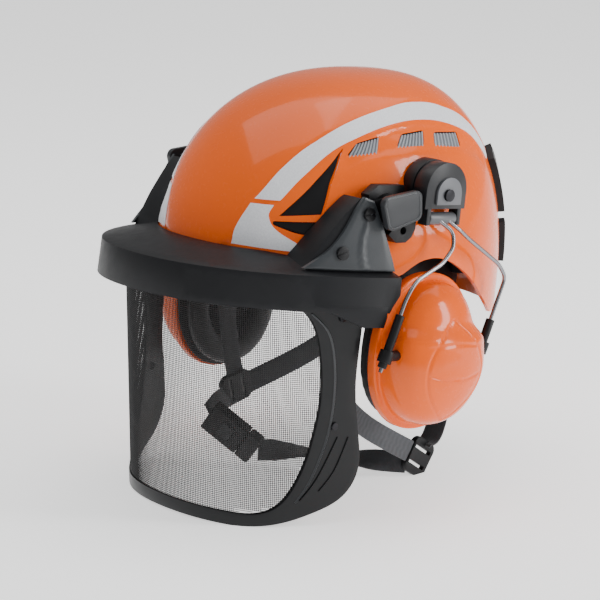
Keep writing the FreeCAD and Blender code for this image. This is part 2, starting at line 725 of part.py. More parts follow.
# ---------------------------------------------------------------- pivots on the shell
def build_pivot_brackets():
    """Bracket on the shell: a plate, a lobe with the accessory hole and the visor's pin."""
    body = new_body("pivot_bracket_body")
    plate = side_sketch(body, "bracket_outline", "@arm_plate_x - 8")
    draw_polygon(plate, [(-58, 74), (-50, 80), (-27, 80), (-24, 70), (-24, 64), (-21, 61), (-21, 50), (-28, 43.5),
                         (-40, 43.5), (-54, 54)])
    pad(body, plate, "bracket_plate", "7.5")
    lobe = side_sketch(body, "lobe_outline", "@arm_plate_x - 1")
    draw_polygon(lobe, [(-21.5, 63), (-21, 53), (-24, 47), (-29, 43.6), (-37, 43.6), (-45, 49), (-41, 53), (-30, 57),
                        (-28, 64)])
    pad(body, lobe, "lobe", "9")
    pin = side_sketch(body, "pin_outline", "@arm_plate_x - 1")
    draw_circle(pin, size("pivot_y"), size("pivot_z"), size("pivot_pin_radius"), "@pivot_pin_radius")
    pad(body, pin, "pin", "@pivot_cap_x - @arm_plate_x + 1")
    hole = side_sketch(body, "accessory_hole_outline", "@arm_plate_x + 8 - @accessory_depth")
    draw_circle(hole, -32, 51.5, size("accessory_radius"), "@accessory_radius")
    doc.recompute()
    pocket_through(body, hole, "accessory_hole", "@accessory_depth + 1")
    doc.recompute()
    trimmed = cut_with(body, dome(0.1), "pivot_bracket")
    both_sides(trimmed, "pivot_bracket")

    cap = new_body("pivot_cap_body")
    outline = side_sketch(cap, "cap_outline", "@pivot_cap_x")
    draw_polygon(outline, [(-61.5, 74), (-27, 79.5), (-24.5, 60.5), (-53, 52)])
    plain = pad(cap, outline, "cap_plate", "@pivot_cap_thickness")
    doc.recompute()
    corners = [name for name, edge in named_edges(plain) if abs(edge.tangentAt(edge.FirstParameter).x) > 0.99]
    rounding = cap.newObject("PartDesign::Fillet", "cap_corners")
    rounding.Base = (plain, corners)
    rounding.Radius = 5.0
    cap.Tip = rounding
    doc.recompute()
    pair_feature(cap.Shape, "pivot_caps")


def named_edges(item):
    return [("Edge%d" % (index + 1), edge) for index, edge in enumerate(item.Shape.Edges)]


# ---------------------------------------------------------------- ear muffs
def d_outline(sketch, grow):
    """An upright D on its flat side: a half circle on straight flanks."""
    y = size("swivel_y")
    radius = size("swivel_half_width") + grow
    low = size("swivel_z") - size("swivel_drop") - grow
    middle = size("swivel_z") + 2.6
    sketch.addGeometry(Part.LineSegment(Vector(y - radius, low, 0), Vector(y + radius, low, 0)))
    sketch.addGeometry(Part.LineSegment(Vector(y + radius, low, 0), Vector(y + radius, middle, 0)))
    arc = Part.Circle(Vector(y, middle, 0), Vector(0, 0, 1), radius)
    sketch.addGeometry(Part.ArcOfCircle(arc, 0.0, math.pi))
    sketch.addGeometry(Part.LineSegment(Vector(y - radius, middle, 0), Vector(y - radius, low, 0)))


def build_muff_base():
    """Base clipped to the shell's slot, with the post that the swivel turns on."""
    body = new_body("muff_base_body")
    back = side_sketch(body, "base_outline", "@swivel_x - 10")
    d_outline(back, 0.6)
    pad(body, back, "base_plate", "9.6")
    foot = side_sketch(body, "foot_outline", "@swivel_x - 10")
    draw_polygon(foot, [(-14, 68), (-12, 56), (-6, 53), (8, 53), (14, 57), (16, 44.5), (27, 44.5), (27, 68)])
    pad(body, foot, "foot", "8.6")
    post = side_sketch(body, "post_outline", "@swivel_x - 1")
    draw_circle(post, size("swivel_y"), size("swivel_z"), size("swivel_post_radius"), "@swivel_post_radius")
    pad(body, post, "post", "@swivel_depth - 0.3")
    holes = side_sketch(body, "foot_holes_outline", "@swivel_x - 10")
    draw_circle(holes, 21.5, 61, 2.4)
    draw_circle(holes, 21.5, 49, 2.4)
    doc.recompute()
    pocket_through(body, holes, "foot_holes", "20")
    doc.recompute()
    trimmed = cut_with(body, dome(0.1), "muff_base")
    both_sides(trimmed, "muff_base")


def build_swivel():
    """D-shaped housing that turns on the post, its cover and its screw."""
    body = new_body("swivel_housing_body")
    outline = side_sketch(body, "housing_outline", "@swivel_x")
    d_outline(outline, 0.0)
    pad(body, outline, "housing_block", "@swivel_depth")
    lugs = side_sketch(body, "lug_outline", "@tilt_x - 4.2")
    half = size("arm_block_length") / 2
    low = size("tilt_z") - 4.0
    for side in (-1, 1):
        inner = size("swivel_y") + side * (half + 0.3)
        outer = size("swivel_y") + side * (half + 3.6)
        draw_polygon(lugs, [(inner, low), (outer, low), (outer, 70), (inner, 70)])
    pad(body, lugs, "lugs", "8.0")
    bore = side_sketch(body, "post_bore_outline", "@swivel_x")
    draw_circle(bore, size("swivel_y"), size("swivel_z"), size("swivel_post_radius") + size("running_gap"),
                "@swivel_post_radius + @running_gap")
    doc.recompute()
    pocket_through(body, bore, "post_bore", "@swivel_depth - 1")
    doc.recompute()
    pin = doc.addObject("Part::Cylinder", "tilt_pin")
    pin.setExpression("Radius", cell("@tilt_pin_radius"))
    pin.setExpression("Height", cell("@arm_block_length + 6"))
    pin.Placement = FreeCAD.Placement(Vector(size("tilt_x"), size("swivel_y") - half - 3.0, size("tilt_z")),
                                      FreeCAD.Rotation(Vector(0, 0, 1), Vector(0, 1, 0)))
    joined = doc.addObject("Part::Fuse", "swivel_housing")
    joined.Base = body
    joined.Tool = pin
    both_sides(joined, "swivel_housing")

    cover = new_body("swivel_cover_body")
    face = side_sketch(cover, "cover_outline", "@swivel_x + @swivel_depth")
    draw_cover(face)
    pad(cover, face, "cover_plate", "@swivel_cover_thickness")
    both_sides(cover, "swivel_cover")

    screw = doc.addObject("Part::Cylinder", "swivel_screw_head")
    screw.setExpression("Radius", cell("@swivel_screw_radius"))
    screw.setExpression("Height", cell("@swivel_screw_height"))
    screw.Placement = FreeCAD.Placement(
        Vector(size("swivel_x") + size("swivel_depth") + size("swivel_cover_thickness"), size("swivel_y"),
               size("swivel_z")), FreeCAD.Rotation(Vector(0, 0, 1), Vector(1, 0, 0)))
    both_sides(screw, "swivel_screw")


def draw_cover(sketch):
    """A smaller D inside the housing's face."""
    y = size("swivel_y") + 1.5
    radius = 11.0
    low = size("swivel_z") - 6.4
    middle = size("swivel_z") + 0.5
    sketch.addGeometry(Part.LineSegment(Vector(y - radius, low, 0), Vector(y + radius, low, 0)))
    sketch.addGeometry(Part.LineSegment(Vector(y + radius, low, 0), Vector(y + radius, middle, 0)))
    arc = Part.Circle(Vector(y, middle, 0), Vector(0, 0, 1), radius)
    sketch.addGeometry(Part.ArcOfCircle(arc, 0.0, math.pi))
    sketch.addGeometry(Part.LineSegment(Vector(y - radius, middle, 0), Vector(y - radius, low, 0)))


# The legs of the wires are parallel, so that the cup slides along them.
SLIDE_RUN = Vector(0, -14, -40)
FRONT_WIRE_FOOT = Vector(119.5, -57, -37)
REAR_WIRE_FOOT = Vector(112, 41, -34)
FRONT_WIRE_TOP = [Vector(107.5, -8, 60), Vector(114, 2, 52.4), Vector(117, 1, 42.4), Vector(118, -8.6, 32.4),
                  Vector(119, -31.5, 22), Vector(119.5, -37, 16)]
REAR_WIRE_TOP = [Vector(107.5, 0, 60), Vector(113, 9.5, 53), Vector(112, 18.6, 47.5), Vector(112, 52, 29)]
PIN_AXIS_START = Vector(119.5, -53.5, -27)
PIN_AXIS_END = Vector(112, 43.45, -27)
PIN_RADIUS = 3.4


def build_muff_arms():
    """Barrel under the swivel and the two spring wires that hold the cup."""
    block = doc.addObject("Part::Cylinder", "arm_block_barrel")
    block.setExpression("Radius", cell("@arm_block_radius"))
    block.setExpression("Height", cell("@arm_block_length"))
    bore = doc.addObject("Part::Cylinder", "arm_block_bore")
    bore.setExpression("Radius", cell("@tilt_pin_radius + @running_gap"))
    bore.setExpression("Height", cell("@arm_block_length"))
    along_y = FreeCAD.Rotation(Vector(0, 0, 1), Vector(0, 1, 0))
    start = Vector(size("tilt_x"), size("swivel_y") - size("arm_block_length") / 2, size("tilt_z"))
    block.Placement = FreeCAD.Placement(start, along_y)
    bore.Placement = FreeCAD.Placement(start, along_y)
    barrel = doc.addObject("Part::Cut", "arm_block")
    barrel.Base = block
    barrel.Tool = bore
    both_sides(barrel, "arm_block")

    radius = size("wire_radius")
    front_bend = FRONT_WIRE_FOOT - SLIDE_RUN * 1.15
    rear_bend = REAR_WIRE_FOOT - SLIDE_RUN * 1.35
    clear_of_pin = Part.makeCylinder(size("tilt_pin_radius") + 0.4, 60, start - Vector(0, 10, 0), Vector(0, 1, 0))
    wires = []
    for top, bend, foot in ((FRONT_WIRE_TOP, front_bend, FRONT_WIRE_FOOT), (REAR_WIRE_TOP, rear_bend, REAR_WIRE_FOOT)):
        wire = rod(top + [bend, foot], radius).cut(clear_of_pin)
        wires.append(max(wire.Solids, key=lambda solid: solid.Volume))
    both_features(Part.makeCompound(wires), "muff_wires")

    sleeves = []
    pins = []
    run = Vector(SLIDE_RUN).normalize()
    inwards = (PIN_AXIS_END - PIN_AXIS_START).normalize()
    for foot, reach, hub_start, hub_run in ((FRONT_WIRE_FOOT, 36.0, PIN_AXIS_START, inwards),
                                            (REAR_WIRE_FOOT, 24.0, PIN_AXIS_END, inwards * -1)):
        tube = Part.makeCylinder(size("sleeve_radius"), reach, foot - run * (reach + 3.0), run)
        bore = Part.makeCylinder(radius + size("running_gap"), reach + 20, foot - run * (reach + 13.0), run)
        sleeves.append(tube.cut(bore))
        collar = Part.makeCylinder(size("sleeve_radius") + 1.8, 8.0, hub_start - run * 4.0, run)
        hub = Part.makeCylinder(PIN_RADIUS, PIN_REACH, hub_start, hub_run)
        sleeve_room = Part.makeCylinder(size("sleeve_radius") + size("running_gap"), 80, hub_start - run * 40, run)
        pins += collar.fuse(hub).cut(sleeve_room).Solids
    both_features(Part.makeCompound(sleeves), "wire_sleeves")
    both_features(Part.makeCompound(pins), "cup_pins")


PIN_REACH = 11.5
CUP_SECTIONS = [(0.0, 0.0), (7.0, 0.0), (8.0, 3.2), (22.0, 4.6), (30.0, 8.6), (36.5, 17.0), (40.0, 29.0)]


def cup_wire(x, inset):
    """Upright oval of the cup at a given x."""
    points = []
    count = 32
    for index in range(count):
        angle = 2.0 * math.pi * (index + 0.5) / count
        power = size("cup_power")
        y, z = superellipse_point(size("cup_half_width") - inset, size("cup_half_height") - inset,
                                  size("cup_half_height") - inset, power, power, angle)
        points.append(Vector(x, size("cup_y") + y, size("cup_z") + z))
    return closed_curve(points)


def cup_solid(inset):
    """The cup's outside, shrunk by inset all round."""
    base = size("cup_base_x")
    wires = []
    for depth, step in CUP_SECTIONS:
        wires.append(cup_wire(base + depth - (inset if depth > 30.0 else 0.0), step + inset))
    return Part.makeLoft(wires, True, True)


def build_ear_cup():
    base = size("cup_base_x")
    cup = cup_solid(0.0).cut(cup_solid(size("cup_wall")))
    both_features(trim_for_pins(cup), "cup_shell")

    foam = new_body("cup_foam_body")
    outline = side_sketch(foam, "foam_outline", "@cup_base_x + 4")
    draw_ellipse(outline, size("cup_y"), size("cup_z"), size("cup_half_width") - 9, size("cup_half_height") - 9)
    pad(foam, outline, "foam_pad", "@cup_foam_thickness")
    both_sides(foam, "cup_foam")

    plate = new_body("cup_plate_body")
    ring = side_sketch(plate, "plate_outline", "@cup_base_x - @cup_plate_thickness")
    draw_ellipse(ring, size("cup_y"), size("cup_z"), size("cup_half_width") - 1, size("cup_half_height") - 1)
    draw_ellipse(ring, size("cup_y"), size("cup_z"), size("cushion_hole_half_width") + 2,
                 size("cushion_hole_half_height") + 2)
    pad(plate, ring, "plate_ring", "@cup_plate_thickness")
    both_sides(plate, "cup_plate")

    cushion = new_body("cushion_body")
    soft = side_sketch(cushion, "cushion_outline", "@cup_base_x - @cup_plate_thickness - @cushion_thickness")
    draw_ellipse(soft, size("cup_y"), size("cup_z"), size("cup_half_width") - 2.5, size("cup_half_height") - 2.5)
    draw_ellipse(soft, size("cup_y"), size("cup_z"), size("cushion_hole_half_width"),
                 size("cushion_hole_half_height"))
    pad(cushion, soft, "cushion_ring", "@cushion_thickness")
    both_sides(cushion, "ear_cushion")


def trim_for_pins(cup):
    """Sockets in the cup's wall for the two pins that it tilts on."""
    inwards = (PIN_AXIS_END - PIN_AXIS_START).normalize()
    for start, run in ((PIN_AXIS_START, inwards), (PIN_AXIS_END, inwards * -1)):
        cup = cup.cut(Part.makeCylinder(PIN_RADIUS + size("running_gap"), PIN_REACH + 1.0, start, run))
    return Part.makeCompound([max(cup.Solids, key=lambda solid: solid.Volume)])


# ---------------------------------------------------------------- build everything
build_shell()
build_foam_liner()
build_shell_trim()
build_harness()
build_adjuster_wheel()
build_chin_straps()
build_buckle()
left_side_plate = build_brow_guard()
build_brow_screws()
build_pivot_arms(left_side_plate)
build_visor()
build_pivot_brackets()
build_muff_base()
build_swivel()
build_muff_arms()
build_ear_cup()
doc.recompute()

# ---------------------------------------------------------------- check and export
for item in doc.Objects:
    if "Invalid" in item.State or "Error" in item.State:
        raise RuntimeError("%s failed: %s" % (item.Name, item.State))
labels = [item.Label for item in SUBPARTS]
if len(set(labels)) != len(labels) or len(labels) > 60:
    raise RuntimeError("sub-part labels: %d" % len(labels))
os.makedirs("parts", exist_ok=True)
for item in SUBPARTS:
    if item.Shape.isNull() or not item.Shape.isValid():
        raise RuntimeError("bad shape: " + item.Label)
for item in SUBPARTS:
    item.Shape.exportStep("parts/%s.step" % item.Label)
    print("%-22s %2d solids %9.1f mm3" % (item.Label, len(item.Shape.Solids), item.Shape.Volume))
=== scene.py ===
"""Looks of the forestry helmet, in metres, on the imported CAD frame.

+Z is up the wearer's head, the face looks along -Y, the wearer's left is +X.
"""
import math

import bmesh
import bpy
from mathutils import Matrix, Vector


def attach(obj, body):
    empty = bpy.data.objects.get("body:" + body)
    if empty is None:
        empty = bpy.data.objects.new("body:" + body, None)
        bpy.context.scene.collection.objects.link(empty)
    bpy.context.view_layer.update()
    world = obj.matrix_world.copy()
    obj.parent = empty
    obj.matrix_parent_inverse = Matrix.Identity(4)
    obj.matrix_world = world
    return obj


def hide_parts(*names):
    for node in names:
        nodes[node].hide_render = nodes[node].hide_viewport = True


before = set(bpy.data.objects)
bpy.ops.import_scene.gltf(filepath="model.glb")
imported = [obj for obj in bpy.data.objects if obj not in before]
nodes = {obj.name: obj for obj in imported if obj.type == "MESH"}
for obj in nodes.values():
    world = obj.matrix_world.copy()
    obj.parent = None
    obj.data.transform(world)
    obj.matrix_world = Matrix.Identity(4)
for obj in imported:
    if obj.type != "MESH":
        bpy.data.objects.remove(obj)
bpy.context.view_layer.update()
MM = 0.001
SIDES = ((1, "_l"), (-1, "_r"))

# ---------------------------------------------------------------- materials


class Mat:
    """A node material under construction, with short calls for the nodes that it uses."""

    def __init__(self, name, base, roughness, metallic=0.0, coat=0.0, sheen=0.0, specular=0.5):
        self.material = bpy.data.materials.new(name)
        self.material.use_nodes = True
        self.tree = self.material.node_tree
        self.shader = self.tree.nodes["Principled BSDF"]
        for socket, value in (("Base Color", (*base, 1.0)), ("Roughness", roughness),
                              ("Metallic", metallic), ("Coat Weight", coat),
                              ("Coat Roughness", 0.06), ("Sheen Weight", sheen),
                              ("Specular IOR Level", specular)):
            self.shader.inputs[socket].default_value = value
        self.position = self.tree.nodes.new("ShaderNodeTexCoord").outputs["Object"]
        self.last_normal = None

    def link(self, source, target):
        self.tree.links.new(source, target)

    def node(self, kind, source, target, **values):
        """A node with its input values, fed from a source; _ stands for a space in a name."""
        item = self.tree.nodes.new("ShaderNode" + kind)
        for name, value in values.items():
            item.inputs[name.replace("_", " ")].default_value = value
        self.link(source, item.inputs[target])
        return item

    def place(self, scale=(1.0, 1.0, 1.0), rotation=(0.0, 0.0, 0.0)):
        item = self.node("Mapping", self.position, "Vector", Scale=scale, Rotation=rotation)
        return item.outputs["Vector"]

    def noise(self, scale, detail=3.0, where=None):
        where = where or self.position
        return self.node("TexNoise", where, "Vector", Scale=scale, Detail=detail).outputs["Fac"]

    def voronoi(self, scale):
        return self.node("TexVoronoi", self.position, "Vector", Scale=scale).outputs["Distance"]

    def wave(self, scale, where, direction):
        item = self.node("TexWave", where, "Vector", Scale=scale)
        item.bands_direction = direction
        return item.outputs["Fac"]

    def spread(self, value, low, high):
        item = self.node("MapRange", value, "Value", To_Min=low, To_Max=high)
        return item.outputs["Result"]

    def mix(self, factor, first, second):
        item = self.tree.nodes.new("ShaderNodeMix")
        item.data_type = "RGBA"
        item.inputs["A"].default_value = (*first, 1.0)
        item.inputs["B"].default_value = (*second, 1.0)
        self.link(factor, item.inputs["Factor"])
        return item.outputs["Result"]

    def color(self, factor, first, second):
        self.link(self.mix(factor, first, second), self.shader.inputs["Base Color"])

    def roughness(self, factor, low, high):
        self.link(self.spread(factor, low, high), self.shader.inputs["Roughness"])

    def bump(self, height, strength, distance):
        item = self.node("Bump", height, "Height", Strength=strength, Distance=distance)
        if self.last_normal is not None:
            self.link(self.last_normal, item.inputs["Normal"])
        self.last_normal = item.outputs["Normal"]
        self.link(self.last_normal, self.shader.inputs["Normal"])


def moulded(name, base, roughness, grain=900.0, strength=0.12, coat=0.0, lift=1.25, specular=0.5):
    """Injection-moulded plastic: a fine grain, slightly uneven gloss and tone."""
    mat = Mat(name, base, roughness, coat=coat, specular=specular)
    mottle = mat.noise(45.0, 4.0)
    mat.color(mottle, tuple(c / lift for c in base), tuple(min(1.0, c * lift) for c in base))
    mat.roughness(mat.noise(130.0), max(0.02, roughness - 0.06), min(1.0, roughness + 0.08))
    mat.bump(mat.noise(grain, 2.0), strength, 0.00025)
    return mat.material


def gloss_shell(name, base):
    """Glossy coloured shell plastic: clear top, faint orange peel and fine dust."""
    mat = Mat(name, base, 0.3, coat=0.4, specular=0.12)
    tone = mat.noise(16.0, 2.0)
    mat.color(tone, tuple(c * 0.95 for c in base), tuple(min(1.0, c * 1.05) for c in base))
    mat.roughness(mat.noise(320.0, 4.0), 0.2, 0.32)
    mat.bump(mat.noise(240.0, 1.0), 0.05, 0.0002)
    return mat.material


def woven(name, base, accent, rib=560.0, axis=(0.0, 0.0, 0.0)):
    """Flat webbing: ribs along its length crossed by picks."""
    mat = Mat(name, base, 0.72, sheen=0.35)
    where = mat.place(rotation=axis)
    ribs = mat.wave(rib, where, "X")
    picks = mat.wave(rib * 0.8, where, "Z")
    mat.color(mat.noise(420.0, 3.0), base, accent)
    mat.bump(ribs, 0.3, 0.0003)
    mat.bump(picks, 0.25, 0.0003)
    return mat.material


def metal(name, base, roughness, brushed=True):
    mat = Mat(name, base, roughness, metallic=1.0)
    where = mat.place(scale=(1.0, 1.0, 0.08)) if brushed else None
    grain = mat.noise(700.0, 3.0, where)
    mat.roughness(grain, roughness * 0.7, min(1.0, roughness * 1.6))
    mat.bump(grain, 0.06, 0.0001)
    return mat.material


ORANGE = (0.92, 0.122, 0.0)
CHARCOAL = (0.009, 0.0095, 0.011)
MATERIALS = {
    "orange": gloss_shell("orange_shell", ORANGE),
    "cup_orange": gloss_shell("orange_cup", (0.9, 0.115, 0.0)),
    "charcoal": moulded("charcoal_plastic", CHARCOAL, 0.45, 1100.0, 0.16, specular=0.22),
    "side_plate": moulded("side_plate_plastic", (0.029, 0.033, 0.037), 0.36, 1200.0, 0.12),
    "black": moulded("black_plastic", (0.006, 0.006, 0.007), 0.42, specular=0.25),
    "housing": moulded("housing_plastic", (0.01, 0.011, 0.013), 0.36, specular=0.35),
    "cap": moulded("cap_plastic", (0.022, 0.024, 0.027), 0.4, 1300.0, specular=0.35),
    # The first visor rib's lighter grey is a painted highlight along its ridge.
    "rib": moulded("rib_painted_highlight_plastic", (0.05, 0.053, 0.057), 0.3, 900.0, 0.08),
    "cap_rim": moulded("cap_rim_plastic", (0.1, 0.105, 0.11), 0.3, 1300.0),
    "cover": moulded("cover_plastic", (0.11, 0.115, 0.125), 0.42, 1300.0),
    "drum": moulded("drum_plastic", (0.09, 0.093, 0.1), 0.36),
    "grille": moulded("grille_insert", (0.3, 0.315, 0.34), 0.32, 700.0, 0.1),
    "silver": moulded("silver_insert", (0.34, 0.355, 0.38), 0.34, 700.0, 0.1),
    "foam": moulded("liner_foam", (0.012, 0.012, 0.014), 0.85, 260.0, 0.5, specular=0.2),
    "padding": woven("pad_cloth", (0.01, 0.01, 0.012), (0.024, 0.024, 0.028), 900.0),
    "webbing": woven("strap_webbing", (0.006, 0.007, 0.009), (0.022, 0.024, 0.03)),
    "webbing_blue": woven("strap_webbing_blue", (0.012, 0.014, 0.018), (0.04, 0.046, 0.056)),
    "steel": metal("bright_wire", (0.26, 0.26, 0.275), 0.22, False),
    "dark_steel": metal("dark_screw", (0.03, 0.03, 0.033), 0.35),
    "mesh": moulded("mesh_coating", (0.01, 0.01, 0.011), 0.45, 1500.0),
    "frame": moulded("visor_plastic", (0.006, 0.0065, 0.0075), 0.34, 900.0, 0.08, specular=0.3),
}


def reflective():
    """Light grey reflective tape with a fine cell pattern."""
    mat = Mat("reflective_tape", (0.55, 0.57, 0.6), 0.38)
    cells = mat.voronoi(850.0)
    mat.color(cells, (0.72, 0.735, 0.77), (0.86, 0.87, 0.9))
    mat.bump(cells, 0.12, 0.0001)
    return mat.material


def leatherette():
    """Soft black cushion skin with fine wrinkles."""
    mat = Mat("cushion_skin", (0.012, 0.012, 0.013), 0.5, sheen=0.1)
    mat.roughness(mat.noise(160.0), 0.42, 0.62)
    mat.bump(mat.voronoi(900.0), 0.25, 0.0003)
    mat.bump(mat.noise(110.0, 2.0), 0.25, 0.001)
    return mat.material


MATERIALS["tape"] = reflective()
MATERIALS["leatherette"] = leatherette()


def paint(obj, key):
    """Give a piece one material."""
    obj.data.materials.clear()
    obj.data.materials.append(MATERIALS[key])


# ---------------------------------------------------------------- mesh helpers
def new_object(name, vertices, faces, key, body, smooth=True):
    """A mesh piece in place, with its material and the CAD body it moves with."""
    mesh = bpy.data.meshes.new(name)
    mesh.from_pydata([tuple(v) for v in vertices], [], faces)
    mesh.update()
    obj = bpy.data.objects.new(name, mesh)
    bpy.context.scene.collection.objects.link(obj)
    paint(obj, key)
    if smooth:
        mesh.polygons.foreach_set("use_smooth", [True] * len(mesh.polygons))
    outward(obj)
    if body:
        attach(obj, body)
    return obj


def outward(obj):
    """Turn a piece's faces so that they all look outwards."""
    work = bmesh.new()
    work.from_mesh(obj.data)
    bmesh.ops.recalc_face_normals(work, faces=work.faces)
    work.to_mesh(obj.data)
    work.free()


def modify(obj, kind, **settings):
    """Add a modifier with its settings."""
    item = obj.modifiers.new(kind.lower(), kind)
    for key, value in settings.items():
        setattr(item, key, value)
    return item


def apply_all(obj):
    """Bake a piece's modifiers into its mesh."""
    graph = bpy.context.evaluated_depsgraph_get()
    graph.update()
    baked = bpy.data.meshes.new_from_object(obj.evaluated_get(graph))
    obj.modifiers.clear()
    obj.data = baked


def smooth_by_angle(obj, degrees):
    """Shade a piece smooth, but for edges that turn more than an angle."""
    obj.data.polygons.foreach_set("use_smooth", [True] * len(obj.data.polygons))
    obj.data.set_sharp_from_angle(angle=math.radians(degrees))


def on_side(side, point):
    """A point of the left half, or its mirror image for side -1."""
    return Vector((side * point.x, point.y, point.z))


def signed_power(value, power):
    """A power that keeps the sign, for superellipses."""
    return math.copysign(abs(value) ** power, value)


def bezier_points(points, per_span=6, closed=False):
    """Catmull-Rom points through the given ones."""
    points = [Vector(p) for p in points]
    count = len(points)
    spans = count if closed else count - 1
    result = []
    for index in range(spans):
        if closed:
            a, b, c, d = (points[(index + k) % count] for k in (-1, 0, 1, 2))
        else:
            a = points[max(index - 1, 0)]
            b = points[index]
            c = points[index + 1]
            d = points[min(index + 2, count - 1)]
        for step in range(per_span):
            t = step / per_span
            result.append(0.5 * ((2 * b) + (c - a) * t + (2 * a - 5 * b + 4 * c - d) * t * t
                                 + (3 * b - a - 3 * c + d) * t * t * t))
    if not closed:
        result.append(points[-1])
    return result


def side_curve(path, per_span=8):
    """Smooth points through a side-view path, with y and z as their first two values."""
    return bezier_points([(y, z, 0) for y, z in path], per_span)


def bend(before, corner, after, radius, share, steps):
    """A rounded corner, which takes at most a share of the run on either side of it."""
    back = before - corner
    ahead = after - corner
    reach = min(radius, back.length * share, ahead.length * share)
    start = corner + back.normalized() * reach
    end = corner + ahead.normalized() * reach
    turns = [step / steps for step in range(steps + 1)]
    return [start.lerp(corner, t).lerp(corner.lerp(end, t), t) for t in turns]


def grid_faces(rows, columns, wrap=False):
    """Quads of a grid of points; wrap joins its last column to the first."""
    faces = []
    last = columns if wrap else columns - 1
    for row in range(rows - 1):
        for column in range(last):
            right = (column + 1) % columns
            faces.append((row * columns + column, row * columns + right,
                          (row + 1) * columns + right, (row + 1) * columns + column))
    return faces


def border_faces(rows, across):
    """Quads that join the borders of two stacked grids."""
    loop = [row * across for row in range(rows)]
    loop += [(rows - 1) * across + column for column in range(1, across)]
    loop += [row * across + across - 1 for row in range(rows - 2, -1, -1)]
    loop += list(range(across - 2, 0, -1))
    below = rows * across
    return [(a, b, below + b, below + a) for a, b in zip(loop, loop[1:] + loop[:1])]


def dome_faces(rows, columns):
    """Quads of two dome layers, outer then inner, joined along their lower rings."""
    faces = grid_faces(rows, columns, True)
    inner = rows * columns
    faces += [tuple(inner + index for index in face) for face in faces]
    for column in range(columns):
        right = (column + 1) % columns
        faces.append((column, right, inner + right, inner + column))
    return faces


# ---------------------------------------------------------------- the shell's form
HALF_WIDTH = 104.0
FRONT_REACH = 154.0
REAR_REACH = 98.0
HEIGHT = 146.0
WIDEST_Y = 28.0
FRONT_POWER = 2.26
REAR_POWER = 1.87
PROFILE_POWER = 2.45
PROFILE_ROOT = 2.39


def dome_scale(height):
    """Size of the shell's plan at a height, against its plan at the rim."""
    if height <= 0:
        return 1.0
    return max(0.0, 1.0 - min(1.0, height / HEIGHT) ** PROFILE_POWER) ** (1.0 / PROFILE_ROOT)


def dome_point(angle, z):
    """A point of the shell's outside at a plan angle and a height, in millimetres."""
    scale = dome_scale(z)
    cosine = math.cos(angle)
    sine = math.sin(angle)
    power = FRONT_POWER if sine < 0 else REAR_POWER
    reach = FRONT_REACH if sine < 0 else REAR_REACH
    x = HALF_WIDTH * scale * signed_power(cosine, 2 / power)
    y = reach * scale * signed_power(sine, 2 / power)
    return Vector((x, WIDEST_Y + y, z))


def pushed_out(point, z, distance):
    """A point of the dome moved outwards, in metres."""
    away = Vector((point.x, (point.y - WIDEST_Y) * 0.55, max(0.0, z) * 0.75)).normalized()
    return (point + away * distance) * MM


def dome_x(y, z):
    """Half-width of the shell at (y, z)."""
    scale = dome_scale(z)
    power = FRONT_POWER if y < WIDEST_Y else REAR_POWER
    reach = FRONT_REACH if y < WIDEST_Y else REAR_REACH
    if scale <= 0:
        return 0.0
    along = min(1.0, abs(y - WIDEST_Y) / (reach * scale))
    return HALF_WIDTH * scale * max(0.0, 1.0 - along ** power) ** (1 / power)


def dome_normal(y, z):
    """Outward normal of the shell's left half at (y, z)."""
    step = 0.5
    across = dome_x(y + step, z) - dome_x(y - step, z)
    up = dome_x(y, z + step) - dome_x(y, z - step)
    return Vector((2 * step, -across, -up)).normalized()


def on_shell(y, z, lift):
    """A point lifted off the shell's left half, in metres."""
    return (Vector((dome_x(y, z), y, z)) + dome_normal(y, z) * lift) * MM


# Side-view outlines, (y, z) in millimetres on the wearer's left.
EAR_ARCH = [(-38, 20), (-28, 21), (-18, 27), (-10, 31), (1, 32.7), (12, 31), (24, 25.6),
            (39, 15.6), (53, 3.8), (70, -8)]
BELOW_RIM = [(160, -9), (160, -60), (-170, -60), (-170, 13), (-50, 13)]
FRONT_OPENING = [(-57.5, 101), (-78, 80), (-95, 61), (-101.5, 53), (-104, 49), (-94, 45),
                 (-83, 43.5), (-79, 56), (-71, 78)]
SIDE_WINDOWS = [
    [(-57, 95), (-49, 103.5), (-31, 108.5), (-36, 98.5)],
    [(-21, 102.5), (-14, 110.5), (6, 113.5), (2, 104)],
    [(11, 104.5), (14, 112.5), (37, 113), (36, 103.5)],
]
STRIPE_OUTER = [(-108, 63.4), (-94, 83), (-75, 100), (-46, 116), (-12, 126.5), (12, 130),
                (34, 128), (58, 119), (77, 103)]
STRIPE_INNER = [(-98.5, 64.2), (-86, 79.5), (-66, 97), (-44, 108), (-20, 116), (4, 119.8),
                (28, 118.6), (53, 110.5), (71.5, 94.5)]
CHIP_OUTER = [(-109.8, 60.4), (-114, 51), (-117, 42), (-118.5, 33.5)]
CHIP_INNER = [(-101.5, 61), (-104.5, 53.5), (-101, 44.5), (-84, 33)]
CROWN_CREASE = [(-118, 38), (-112, 52), (-103, 68), (-90, 85), (-72, 101.5), (-44, 116.6),
                (-12, 127), (12, 130.6), (34, 128.8), (58, 120), (78, 104), (92, 80)]
BELT_UPPER = [(-96, 63), (-84, 77), (-64, 94.5), (-42, 106), (-19, 113.6), (4, 117.2),
              (28, 116), (50, 108), (66, 97)]
BELT_LOWER = [(-66, 84), (-48, 94), (-30, 99), (-8, 102), (12, 103), (36, 102), (52, 97), (64, 90)]


def distance_to(path, y, z):
    """Signed distance from a side-view path to a point: positive above it."""
    best = 1e9
    sign = 1.0
    for (y0, z0), (y1, z1) in zip(path, path[1:]):
        run_y = y1 - y0
        run_z = z1 - z0
        share = ((y - y0) * run_y + (z - z0) * run_z) / (run_y ** 2 + run_z ** 2)
        share = min(1.0, max(0.0, share))
        gap_y = y - y0 - share * run_y
        gap_z = z - z0 - share * run_z
        gap = math.hypot(gap_y, gap_z)
        if gap < best:
            best = gap
            sign = 1.0 if run_y * gap_z - run_z * gap_y > 0 else -1.0
    return best * sign


